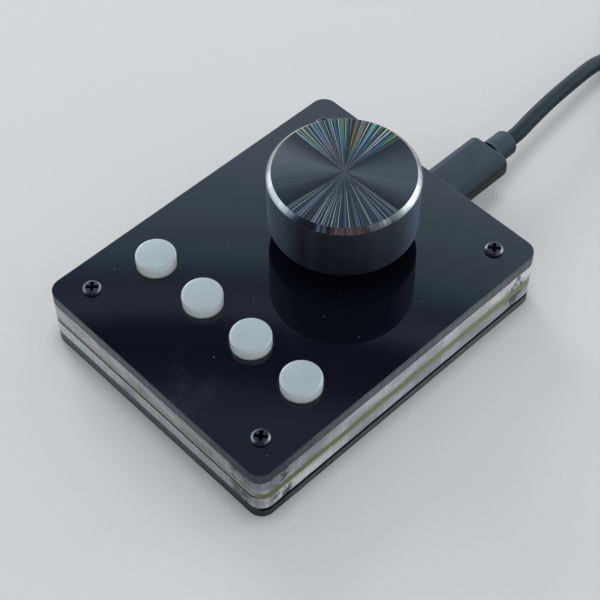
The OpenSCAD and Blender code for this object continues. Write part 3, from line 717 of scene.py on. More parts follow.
@dataclass(frozen=True)
class TurnedFinish(Finish):
    """Turned aluminium, whose rings run round the knob's axis."""

    anisotropy: float = 0.75
    rings_per_metre: float = 9000.0
    rub: float = 0.4
    rub_width: float = 0.00012

    def polar(self, nodes: Nodes, turn: float = 0.0) -> tuple[Value, Value, Value]:
        """Adds where a point lies round the knob's axis.

        Args:
            nodes: the material's nodes.
            turn: the direction of the angle 0, in degrees from the X axis.

        Returns:
            The angle in radians, the distance from the axis and the height.
        """
        x, y, z = nodes.parts(nodes.place(offset=(0.0, AXIS_Y * MM, 0.0), turn=-turn))
        return y.maths("ARCTAN2", x), (x * x + y * y).maths("SQRT"), z

    @staticmethod
    def along(value: Value, scale: float, detail: float = 1.0) -> Value:
        """Adds noise that changes along one value only."""
        return value.nodes.add("ShaderNodeTexNoise", noise_dimensions="1D", W=value, Scale=scale, Detail=detail)

    def comb(self, nodes: Nodes) -> None:
        """Turns the shader's grain so that it runs round the axis."""
        nodes.shade(Anisotropic=self.anisotropy, Anisotropic_Rotation=0.25,
                    Tangent=nodes.add("ShaderNodeTangent", direction_type="RADIAL", axis="Z"))

    def round_tones(self, nodes: Nodes, base: Value) -> Value:
        """Adds broad darker streaks round the side.

        Args:
            nodes: the material's nodes.
            base: the plain colour.

        Returns:
            The changed colour.
        """
        streaks = self.along(self.polar(nodes)[0], 7.0, 3.0).span(0.4, 0.65, 0.0, 0.3)
        return nodes.blend(streaks, base, self.toned(0.5))

    def paint(self, nodes: Nodes) -> None:
        """Adds the rings, the tones round the axis, which on the cut rim are painted reflections, and a rubbed edge.

        Args:
            nodes: the material's nodes.
        """
        self.comb(nodes)
        _, radius, height = self.polar(nodes)
        rings = self.along(height + radius, self.rings_per_metre, 2.0)
        base = self.round_tones(nodes, nodes.blend(rings.span(0.3, 0.7), self.toned(0.72), self.colour))
        edge = nodes.group(Effects.edge(), Width=self.rub_width, Breakup=0.4)
        nodes.shade(Base_Color=nodes.blend(edge * self.rub, base, self.toned(2.0, 0.06)),
                    Roughness=self.uneven(nodes.noise(130.0, 4.0, 0.6), 0.3, 0.7, 0.85, 1.2))
        nodes.bump(rings, 0.15, 0.000004)


@dataclass(frozen=True)
class CutRimFinish(TurnedFinish):
    """The knob's bright cut rim, with painted dark, coppery and bluish reflections on its near side and painted shade
    at its foot.
    """

    # Painted reflections: the near side's direction, their strength, the foot's painted shade, and where the dark,
    # coppery and bluish reflections lie
    near: float = -43.5
    strength: float = 0.9
    foot_shade_band: tuple[float, float] = (0.0332, 0.0337)
    dark_reflection_tint: Colour = (0.14, 0.17, 0.24)
    copper_reflection_at: float = 0.18
    glint_at: float = 0.33

    def round_tones(self, nodes: Nodes, base: Value) -> Value:
        """Adds the painted reflections and the painted shade at the rim's foot.

        Args:
            nodes: the material's nodes.
            base: the plain colour.

        Returns:
            The changed colour.
        """
        angle, _, height = self.polar(nodes, self.near)
        fine = self.along(angle, 26.0, 3.0)
        coarse = self.along(angle + 2.0, 3.0, 2.0)
        # Painted shade at the foot of the rim
        base = nodes.blend(height.span(*self.foot_shade_band, 0.75, 0.0), base, self.toned(0.16))
        # Painted reflections: darker broken sectors, a dark one on the near side, a coppery one and a bluish glint
        base = nodes.blend(coarse.span(0.4, 0.55, 0.3, 1.0), self.toned(0.45), base)
        dark = tuple(c * k for c, k in zip(self.colour, self.dark_reflection_tint))
        base = nodes.blend(abs(angle + fine * 0.25).span(0.55, 0.75, self.strength, 0.0), base, dark)
        copper_reflection = nodes.blend(fine.span(0.4, 0.6), (0.55, 0.31, 0.22), (0.95, 0.7, 0.57))
        base = nodes.blend(abs(angle - self.copper_reflection_at + fine * 0.3).span(0.14, 0.27, self.strength, 0.0), base, copper_reflection)
        glint = abs(angle + self.glint_at).span(0.05, 0.08, self.strength, 0.0) * fine.span(0.42, 0.5)
        return nodes.blend(glint, base, (0.8, 0.88, 0.98))


@dataclass(frozen=True)
class PaintedFansFinish(TurnedFinish):
    """A spun face with painted highlights: two opposite fans of bright and iridescent spokes painted as colour, between
    satin sectors with painted shading.
    """

    # Painted highlights: the fans' direction, near the line of view, their half width, and the face's radius
    axis: float = 132.5
    half_width: float = 48.0
    reach: float = 0.0148
    # Painted iridescence: the colours of the bars within the fans
    painted_iridescence: Stops = (
        (0.0, (0.03, 0.06, 0.2)), (0.12, (0.03, 0.2, 0.05)), (0.3, (0.2, 0.28, 0.01)), (0.44, (0.28, 0.12, 0.02)),
        (0.57, (0.2, 0.04, 0.04)), (0.68, (0.12, 0.12, 0.14)), (0.8, (0.03, 0.1, 0.28)), (0.91, (0.05, 0.22, 0.07)),
        (1.0, (0.03, 0.06, 0.2)))

    def spokes(self, nodes: Nodes, angle: Value, reach: Value) -> Value:
        """Adds the painted highlights: hairlines over broader coloured bars, both broken along their length.

        Args:
            nodes: the material's nodes.
            angle: the angle round the axis.
            reach: the distance from the axis, as a share of the face's radius.

        Returns:
            The spokes' colour.
        """
        strong = angle.maths("COSINE").span(-0.3, 0.3)
        hair = self.along(angle, 58.0).span(0.61, 0.66) * self.along(angle + 7.7, 17.0).span(0.35, 0.6, 0.25, 1.0)
        start = self.along(angle + 2.3, 20.0).span(0.35, 0.65, 0.0, 0.7)
        bars = self.along(angle + 4.7, 12.0).span(0.5, 0.58) * strong.span(0.0, 1.0, 0.32, 1.0)
        shade = self.along(angle + 9.1, 11.0) * 5.0 + reach * 0.6
        colour = nodes.blend(strong, (0.036, 0.042, 0.05), (0.024, 0.029, 0.036))
        colour = nodes.blend(bars * reach.span(0.1, 0.6, 0.25, 1.0), colour,
                             nodes.ramp(shade.maths("FRACT"), self.painted_iridescence))
        colour = nodes.blend(hair * (reach - start).span(-0.05, 0.1, 0.25, 1.0), colour, (0.62, 0.64, 0.67))
        return nodes.blend(reach.span(0.0, 0.2, 0.75, 0.0), colour, (0.1, 0.105, 0.12))

    def paint(self, nodes: Nodes) -> None:
        """Adds the painted highlight fans, and the satin sectors, whose painted shading is palest in the middle and
        darkest beside the fans.

        Args:
            nodes: the material's nodes.
        """
        self.comb(nodes)
        angle, radius, _ = self.polar(nodes, self.axis)
        doubled = (angle * 2.0).maths("COSINE")
        limit = math.cos(math.radians(2 * self.half_width))
        # Painted highlights: the two fans
        fans = (self.along(angle, 60.0) * 0.05 + doubled).span(limit + 0.01, limit + 0.045)
        # Painted shading of the satin sectors: palest in the middle, darkest beside the fans
        painted_pale = doubled.span(-1.0, limit, 1.0, 0.0, smooth=True) * self.along(angle, 7.0, 3.0).span(0.2, 0.8, 0.65, 1.0)
        satin = nodes.blend(painted_pale, self.toned(0.45), self.colour)
        rings = self.along(radius, self.rings_per_metre, 2.0)
        nodes.shade(Base_Color=nodes.blend(fans, satin, self.spokes(nodes, angle, radius / self.reach)),
                    Roughness=self.uneven(rings, 0.3, 0.7, 0.95, 1.05))
        nodes.bump(rings, 0.05, 0.000002)


@dataclass(frozen=True)
class FabricFinish(Finish):
    """A woven hook-and-loop strap."""

    loops_per_metre: float = 2400.0
    sheen: float = 0.3

    def paint(self, nodes: Nodes) -> None:
        """Adds the loops.

        Args:
            nodes: the material's nodes.
        """
        loops = nodes.add("ShaderNodeTexVoronoi", "Distance", Vector=nodes.place(),
                          Scale=self.loops_per_metre)
        nodes.shade(Base_Color=nodes.blend(loops.span(0.2, 0.6), self.toned(2.2, 0.01), self.colour),
                    Sheen_Weight=self.sheen)
        nodes.bump(loops, 0.8, 0.0002)


class Look(Enum):
    """Every finish of the object."""

    BLACK_FACE = BlackAcrylicFinish("BlackAcrylicFace", (0.003, 0.004, 0.0075), 0.02)
    BLACK_EDGE = BlackEdgeFinish("BlackAcrylicEdge", (0.1, 0.11, 0.12), 0.6, specular=0.02)
    CLEAR_FACE = ClearAcrylicFinish("ClearAcrylicFace", (0.93, 0.97, 0.965), 0.02)
    CLEAR_EDGE = ClearEdgeFinish("ClearAcrylicEdge", (0.5, 0.52, 0.53), 0.2)
    BOARD = BoardFinish("SolderMask", (0.012, 0.02, 0.016), 0.4, specular=0.15)
    SCREW = BrushedFinish("BlackNickel", (0.05, 0.053, 0.06), 0.34, 1.0)
    # Painted highlight: a lighter copy of the black nickel for the screws' rims
    SCREW_RIM_HIGHLIGHT = BrushedFinish("BlackNickelRimHighlight", (0.17, 0.17, 0.18), 0.3, 1.0)
    # Painted shade: a darker copy of the black nickel for the screws' recesses
    SCREW_PIT_SHADE = BrushedFinish("BlackNickelRecessShade", (0.008, 0.009, 0.011), 0.5, 1.0)
    BRASS = BrushedFinish("InsertBrass", (0.72, 0.53, 0.25), 0.32, 1.0)
    SWITCH = GrainedFinish("SwitchMoulding", (0.02, 0.021, 0.024), 0.45)
    STEEL = BrushedFinish("TinnedSteel", (0.62, 0.63, 0.64), 0.3, 1.0)
    GOLD = BrushedFinish("ContactGold", (0.85, 0.62, 0.28), 0.25, 1.0, stretch=(1.0, 16.0, 1.0))
    MILKY = MilkyFinish("MilkyCap", (0.336, 0.41, 0.438), 0.38, coat=0.6)
    ZINC = GrainedFinish("ZincCasting", (0.55, 0.56, 0.57), 0.38, 1.0)
    ROTOR = GrainedFinish("RotorMoulding", (0.72, 0.68, 0.58), 0.5)
    EPOXY = GrainedFinish("ChipEpoxy", (0.02, 0.02, 0.022), 0.55, grain=6500.0)
    CERAMIC = GrainedFinish("PartCeramic", (0.34, 0.24, 0.13), 0.5)
    JACKET = GrainedFinish("LeadJacket", (0.0105, 0.0205, 0.0275), 0.5, specular=0.18, grain=3600.0,
                           relief=0.000012, lift=0.0)
    PLUG = GrainedFinish("PlugMoulding", (0.023, 0.036, 0.048), 0.55, specular=0.25, grain=5200.0,
                         relief=0.00002, lift=0.0, flank_shade=0.85)
    BOOT = GrainedFinish("BootMoulding", (0.027, 0.044, 0.056), 0.55, specular=0.25, grain=5200.0,
                         relief=0.00002, lift=0.0, flank_shade=0.7)
    PLUG_STEEL = BrushedFinish("PlugSteel", (0.7, 0.71, 0.72), 0.26, 1.0, stretch=(1.0, 16.0, 1.0))
    CONTACT = GrainedFinish("ContactMoulding", (0.75, 0.75, 0.72), 0.4)
    STRAP = FabricFinish("StrapWeave", (0.012, 0.013, 0.016), 0.9)
    KNOB_SIDE = TurnedFinish("KnobSide", (0.08, 0.097, 0.125), 0.46, 1.0, anisotropy=0.9)
    KNOB_RIM = CutRimFinish("KnobCutRim", (0.54, 0.54, 0.52), 0.2, 1.0, anisotropy=0.5)
    KNOB_TOP = PaintedFansFinish("KnobPaintedFans", (0.06, 0.066, 0.074), 0.3, 1.0)
    FLOOR = PaperFinish("FloorPaper", (0.58, 0.595, 0.61), 0.75, specular=0.2)

    @cache
    def material(self) -> bpy.types.Material:
        """Gives the finish's material, made when it is first asked for."""
        return self.value.build()


# The finish of each slot, in the slots' order
SLOT_LOOKS: dict[Slot, Look] = dict(zip(Slot, (
    Look.BLACK_FACE, Look.CLEAR_EDGE, Look.BOARD, Look.SCREW, Look.BRASS, Look.SWITCH, Look.STEEL, Look.MILKY,
    Look.KNOB_SIDE, Look.ZINC, Look.ROTOR, Look.EPOXY, Look.CERAMIC, Look.JACKET, Look.PLUG, Look.PLUG_STEEL,
    Look.CONTACT, Look.STRAP)))


def put(name: str, data: object) -> bpy.types.Object:
    """Puts an object in the scene.

    Args:
        name: its name.
        data: its mesh, curve, lamp or camera.

    Returns:
        The object.
    """
    thing = bpy.data.objects.new(name, data)
    bpy.context.scene.collection.objects.link(thing)
    return thing


# ---- Camera, stage and light ----


@dataclass
class Lamp:
    """A soft square lamp that faces the origin. Polished faces don't show it if it isn't mirrored."""

    name: str
    place: Point
    size: float
    power: float
    colour: Colour = (1.0, 1.0, 1.0)
    mirrored: bool = True

    def build(self) -> None:
        """Hangs the lamp."""
        data = bpy.data.lights.new(self.name, "AREA")
        data.shape, data.size, data.energy, data.color = "SQUARE", self.size, self.power, self.colour
        lamp = put(self.name, data)
        lamp.location = self.place
        lamp.rotation_euler = (-Vector(self.place)).to_track_quat("-Z", "Y").to_euler()
        lamp.visible_glossy = self.mirrored


@dataclass
class Studio:
    """The camera, the floor and the light."""

    azimuth: float = 46.497
    elevation: float = 52.151
    roll: float = -0.631
    distance: float = 317.705
    target: Point = (6.462, -4.762, PLATE_TOP)
    lens: float = 93.901
    sensor: float = 36.0
    clips: tuple[float, float] = (0.01, 20.0)
    floor_size: float = 4.0
    lamps: tuple[Lamp, ...] = (
        Lamp("HighLamp", (-0.03, 0.07, 1.2), 0.4, 4.5, mirrored=False),
        Lamp("LeftLamp", (-0.9, 0.3, 0.5), 0.4, 3.6, (1.0, 1.0, 0.97)),
        Lamp("BackLamp", (0.5, 0.9, 0.45), 0.4, 1.0),
        Lamp("RightLamp", (1.0, 0.1, 0.75), 0.5, 0.6))
    even_colour: Colour = (0.59, 0.605, 0.62)
    near_colour: Colour = (0.07, 0.085, 0.12)
    near_side: tuple[float, float] = (-0.45, 0.05)
    lean: float = -0.085
    wall_stops: Stops = (
        (0.0, (1.9, 2.2, 2.5)), (0.4, (1.5, 1.75, 2.0)), (0.65, (1.2, 1.45, 1.75)), (0.735, (1.06, 1.37, 1.7)),
        (0.745, (0.86, 1.16, 1.44)), (0.755, (0.77, 1.06, 1.31)), (0.7625, (0.69, 0.94, 1.19)),
        (0.7675, (0.63, 0.84, 1.13)), (0.7725, (0.52, 0.79, 1.03)), (0.7775, (0.39, 0.64, 0.87)),
        (0.7825, (0.27, 0.4, 0.59)), (0.787, (0.24, 0.3, 0.49)), (0.7915, (0.33, 0.41, 0.64)),
        (0.7975, (0.29, 0.37, 0.58)), (0.803, (0.05, 0.07, 0.15)), (0.812, (0.04, 0.05, 0.11)),
        (0.8205, (0.06, 0.07, 0.14)), (0.828, (0.17, 0.22, 0.37)), (0.836, (0.24, 0.32, 0.5)),
        (1.0, (0.28, 0.37, 0.55)))

    def camera(self) -> None:
        """Places the camera."""
        az, el, roll = (math.radians(v) for v in (self.azimuth, self.elevation, self.roll))
        back = Vector((math.sin(az) * math.cos(el), -math.cos(az) * math.cos(el), math.sin(el)))
        right = Vector((math.cos(az), math.sin(az), 0.0))
        up = back.cross(right)
        data = bpy.data.cameras.new("Camera")
        data.lens, data.sensor_width, data.sensor_fit = self.lens, self.sensor, "HORIZONTAL"
        data.clip_start, data.clip_end = self.clips
        camera = put("Camera", data)
        place = Matrix((math.cos(roll) * right + math.sin(roll) * up, math.cos(roll) * up - math.sin(roll) * right,
                        back)).transposed().to_4x4()
        place.translation = (Vector(self.target) + back * self.distance) * MM
        camera.matrix_world = place
        bpy.context.scene.camera = camera

    def floor(self) -> None:
        """Lays the floor."""
        half = self.floor_size / 2
        mesh = bpy.data.meshes.new("floor")
        mesh.from_pydata([(-half, -half, 0), (half, -half, 0), (half, half, 0), (-half, half, 0)], [], [(0, 1, 2, 3)])
        mesh.materials.append(Look.FLOOR.material())
        put("floor", mesh)

    def world(self) -> None:
        """Sets the surroundings: even light, and in reflections bright walls behind and beside a dark near side."""
        world = bpy.data.worlds.new("Studio")
        world.use_nodes = True
        bpy.context.scene.world = world
        nodes = Nodes(world.node_tree)
        x, y, height = nodes.parts(nodes.add("ShaderNodeTexCoord", "Generated"))
        far = math.radians(self.azimuth + 90)
        ahead = x * math.cos(far) + y * math.sin(far)
        across = x * math.sin(far) - y * math.cos(far)
        level = (1.0 - height * height).maths("MAXIMUM", 0.0001).maths("SQRT")
        walls = nodes.ramp(across * self.lean + height, self.wall_stops)
        seen = nodes.blend((ahead / level).span(*self.near_side, smooth=True), self.near_colour, walls)
        glossy = nodes.add("ShaderNodeLightPath", "Is Glossy Ray")
        nodes.fill(world.node_tree.nodes["Background"], {
            "Color": nodes.blend(glossy, self.even_colour, seen), "Strength": 1.0})

    def build(self) -> None:
        """Builds the stage."""
        bpy.context.scene.view_settings.view_transform = "Standard"
        self.camera()
        self.floor()
        for lamp in self.lamps:
            lamp.build()
        self.world()


# ---- Shared mesh helpers ----

FINE_WELD, LATHE_WELD, CAD_WELD = 0.0000005, 0.000001, 0.000002  # points nearer than this merge, in metres
LEVEL_FROM, UPRIGHT_BELOW = 0.999, 0.01  # how far a face's normal points up or down
COPLANAR, SHARP = math.radians(0.5), math.radians(50)  # the angles between faces that are one, and at sharp edges


class GeoTree(Group):
    """A Geometry Nodes tree with named inputs, whose result becomes a plain mesh."""

    def __init__(self, name: str, **inputs: object) -> None:
        """Starts the tree.

        Args:
            name: its name.
            inputs: the first values of its own inputs, by name with _ for a space.
        """
        own = {label.replace("_", " "): value for label, value in inputs.items()}
        super().__init__(name, {"Geometry": "Geometry", **own, "Material": "Material"}, ("Geometry",), "Geometry")

    def move(self, geometry: Value, by: object = (0, 0, 0), turn: object = (0, 0, 0)) -> Value:
        """Turns a geometry and moves it."""
        return self.add("GeometryNodeTransform", Geometry=geometry, Translation=by, Rotation=turn)

    def up(self, height: object) -> Value:
        """Makes an upright vector."""
        return self.add("ShaderNodeCombineXYZ", Z=height)

    def cut(self, body: Value, tool: Value) -> Value:
        """Cuts one geometry out of another."""
        return self.add("GeometryNodeMeshBoolean", operation="DIFFERENCE", Mesh_1=body, Mesh_2=tool)

    def join(self, *parts: Value) -> Value:
        """Joins geometries.

        Args:
            parts: the geometries.

        Returns:
            All of them as one.
        """
        joined = self.add("GeometryNodeJoinGeometry")
        for part in parts:
            self.fill(joined.socket.node, {"Geometry": part})
        return joined

    def thread(self, radius: Value, ridge: float, fineness: tuple[int, int]) -> Value:
        """Adds a thread over the inputs Length and Pitch.

        Args:
            radius: its radius.
            ridge: half the ridge's thickness, in metres.
            fineness: how many steps one turn has, and how many sides the ridge.

        Returns:
            The thread's mesh.
        """
        length = self.given["Length"]
        line = self.add("GeometryNodeCurveSpiral", Resolution=fineness[0], Rotations=length / self.given["Pitch"],
                        Start_Radius=radius, End_Radius=radius, Height=length)
        circle = self.add("GeometryNodeCurvePrimitiveCircle", Resolution=fineness[1], Radius=ridge)
        return self.add("GeometryNodeCurveToMesh", Curve=line, Profile_Curve=circle, Fill_Caps=True)

    def spin(self) -> Value:
        """Spins the profile that goes in round the Z axis, in as many faces as the input Segments says.

        Returns:
            The turned mesh.
        """
        profile, segments = self.given["Geometry"], self.given["Segments"]
        count = self.add("GeometryNodeAttributeDomainSize", "Point Count", Geometry=profile)
        grid = self.add("GeometryNodeMeshGrid", Vertices_X=segments + 1.0, Vertices_Y=count)
        index = self.add("GeometryNodeInputIndex")
        angle = ((index + 0.5) / count).maths("FLOOR") / segments * math.tau
        sample = self.add("GeometryNodeSampleIndex", data_type="FLOAT_VECTOR", Geometry=profile,
                          Value=self.add("GeometryNodeInputPosition"), Index=index.maths("MODULO", count))
        radius, _, height = self.parts(sample)
        place = self.add("ShaderNodeCombineXYZ", X=radius * angle.maths("COSINE"), Y=radius * angle.maths("SINE"),
                         Z=height)
        moved = self.add("GeometryNodeSetPosition", Geometry=grid, Position=place)
        return self.add("GeometryNodeMergeByDistance", Geometry=moved, Distance=LATHE_WELD)

    def close(self, geometry: Value) -> "GeoTree":
        """Ends the tree: real geometry, in the material that is given.

        Args:
            geometry: the result.

        Returns:
            The tree.
        """
        real = self.add("GeometryNodeRealizeInstances", Geometry=geometry)
        super().close(Geometry=self.add("GeometryNodeSetMaterial", Geometry=real, Material=self.given["Material"]))
        return self

    def bake(self, look: Look, base: bpy.types.Mesh, **inputs: object) -> bpy.types.Mesh:
        """Runs the tree once and keeps its result.

        Args:
            look: the finish.
            base: the mesh that goes in.
            inputs: numbers, lengths in millimetres and Turn in degrees, by name with _ for a space.

        Returns:
            The result as a plain mesh, smooth but for its sharp edges.
        """
        values = {"Material": look.material()}
        for label, value in inputs.items():
            unit = math.radians(1.0) if label == "Turn" else MM
            values[label.replace("_", " ")] = (
                tuple(v * unit for v in value) if isinstance(value, tuple) else
                value * unit if isinstance(value, float) else value)
        carrier = put("carrier", base)
        modifier = carrier.modifiers.new("tree", "NODES")
        modifier.node_group = self.tree
        for item in self.tree.interface.items_tree:
            if item.in_out == "INPUT" and item.name in values:
                modifier[item.identifier] = values[item.name]
        view = bpy.context.evaluated_depsgraph_get()
        result = bpy.data.meshes.new_from_object(carrier.evaluated_get(view), depsgraph=view)
        bpy.data.objects.remove(carrier)
        bpy.data.meshes.remove(base)
        tidy_normals(result)
        return result


def points_mesh(points: list[tuple[float, float]]) -> bpy.types.Mesh:
    """Puts a profile's points in a mesh.

    Args:
        points: each point's distance from the axis and height, in millimetres.

    Returns:
        The mesh, in metres, with the distance along X and the height along Z.
    """
    mesh = bpy.data.meshes.new("profile")
    mesh.from_pydata([(r * MM, 0.0, z * MM) for r, z in points], [], [])
    return mesh


def soften(corners: list[tuple[float, float, float]], steps: int = 5) -> list[tuple[float, float]]:
    """Rounds the corners of a profile.

    Args:
        corners: each corner's distance, height and rounding radius, in millimetres.
        steps: how many points a rounded corner gets.

    Returns:
        The profile's points.
    """
    profile: list[tuple[float, float]] = []
    for i, (r, z, radius) in enumerate(corners):
        here = Vector((r, z))
        if radius <= 0 or i in (0, len(corners) - 1):
            profile.append((r, z))
            continue
        back, ahead = ((Vector(corners[k][:2]) - here).normalized() for k in (i - 1, i + 1))
        half = back.angle(ahead) / 2
        reach = radius / math.tan(half)
        middle = here + (back + ahead).normalized() * (radius / math.sin(half))
        first, last = here + back * reach - middle, here + ahead * reach - middle
        sweep = first.angle(last)
        for share in (step / steps for step in range(steps + 1)):
            arc = (math.sin((1 - share) * sweep) * first + math.sin(share * sweep) * last) / math.sin(sweep)
            profile.append(tuple(middle + arc))
    return profile


@cache
def lathe() -> GeoTree:
    """Builds the tree that turns a profile and puts it in place.

    Returns:
        The tree.
    """
    tree = GeoTree("Lathe", Segments=96, Place=(0.0, 0.0, 0.0), Turn=(0.0, 0.0, 0.0))
    return tree.close(tree.move(tree.spin(), tree.given["Place"], tree.given["Turn"]))


def turned(profile: list[tuple[float, float]], axis: Point, look: Look, segments: int = 96,
           turn: Point = (0.0, 0.0, 0.0)) -> bpy.types.Mesh:
    """Turns one piece on the lathe.

    Args:
        profile: the points' distances and heights, in millimetres.
        axis: the point, in millimetres, that the profile's origin goes to.
        look: the piece's finish.
        segments: how many faces go round.
        turn: the piece's rotation about X, Y and Z, in degrees, before it is moved.

    Returns:
        The mesh.
    """
    return lathe().bake(look, points_mesh(profile), Segments=segments, Place=axis, Turn=turn)


def face_kind(face: bmesh.types.BMFace) -> int:
    """Tells level faces (0) from upright (1) and sloping ones (2)."""
    rise = abs(face.normal.z)
    return 0 if rise > LEVEL_FROM else 1 if rise < UPRIGHT_BELOW else 2


def tidy_normals(mesh: bpy.types.Mesh, degrees: float = 32.0, kinds: bool = False) -> None:
    """Turns a closed mesh's faces outwards and shades it smooth, but for edges sharper than an angle.

    Args:
        mesh: the mesh.
        degrees: the angle.
        kinds: True to keep level, upright and sloping faces apart, so that large flat faces stay flat.
    """
    work = bmesh.new()
    work.from_mesh(mesh)
    bmesh.ops.remove_doubles(work, verts=work.verts, dist=FINE_WELD)
    bmesh.ops.recalc_face_normals(work, faces=work.faces)
    for face in work.faces:
        face.smooth = True
    for edge in work.edges:
        apart = kinds and len({face_kind(face) for face in edge.link_faces}) > 1
        edge.smooth = len(edge.link_faces) == 2 and not apart and edge.calc_face_angle(0.0) < math.radians(degrees)
    work.to_mesh(mesh)
    work.free()


def machined_copy(node: str, edge: float, segments: int = 2) -> bpy.types.Mesh:
    """Copies a CAD node's mesh and breaks its sharp edges.

    Args:
        node: the node's name.
        edge: the width of the broken edges, in millimetres.
        segments: how round they are.

    Returns:
        The copy, smooth but for its sharp edges.
    """
    mesh = frame["nodes"][node].data.copy()
    work = bmesh.new()
    work.from_mesh(mesh)
    bmesh.ops.remove_doubles(work, verts=work.verts, dist=CAD_WELD)
    bmesh.ops.dissolve_limit(work, angle_limit=COPLANAR, verts=work.verts, edges=work.edges)
    sharp = [e for e in work.edges if len(e.link_faces) == 2 and e.calc_face_angle(0.0) > SHARP]
    if edge > 0:
        bmesh.ops.bevel(work, geom=sharp, offset=edge * MM, segments=segments, profile=0.5, affect="EDGES",
                        clamp_overlap=True)
    work.to_mesh(mesh)
    work.free()
    tidy_normals(mesh, 40.0, kinds=True)
    return mesh


def dress(mesh: bpy.types.Mesh, *looks: Look, choose: Callable[[bpy.types.MeshPolygon], int] | None = None) -> None:
    """Gives a mesh its finishes.

    Args:
        mesh: the mesh.
        looks: the finishes.
        choose: gives the number of a face's finish, if there are several.
    """
    mesh.materials.clear()
    for look in looks:
        mesh.materials.append(look.material())
    if choose:
        for face in mesh.polygons:
            face.material_index = choose(face)


def place_piece(name: str, mesh: bpy.types.Mesh, slot: Slot, stands_for: str = "", body: Body = Body.CASE
                ) -> bpy.types.Object:
    """Puts a finished mesh in the scene, on its body.

    Args:
        name: the piece's name.
        mesh: its mesh, in place.
        slot: the record's slot for its finish; not used.
        stands_for: the CAD node that it replaces, if it does.
        body: the body that it rides on.

    Returns:
        The piece.
    """
    mesh.name = name
    piece = put(name, mesh)
    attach(piece, body.value)
    if stands_for:
        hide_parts(stands_for)
    LOG.info("%s: %d faces on %s", name, len(mesh.polygons), body.value)
    return piece


# ---- Sub-assemblies ----


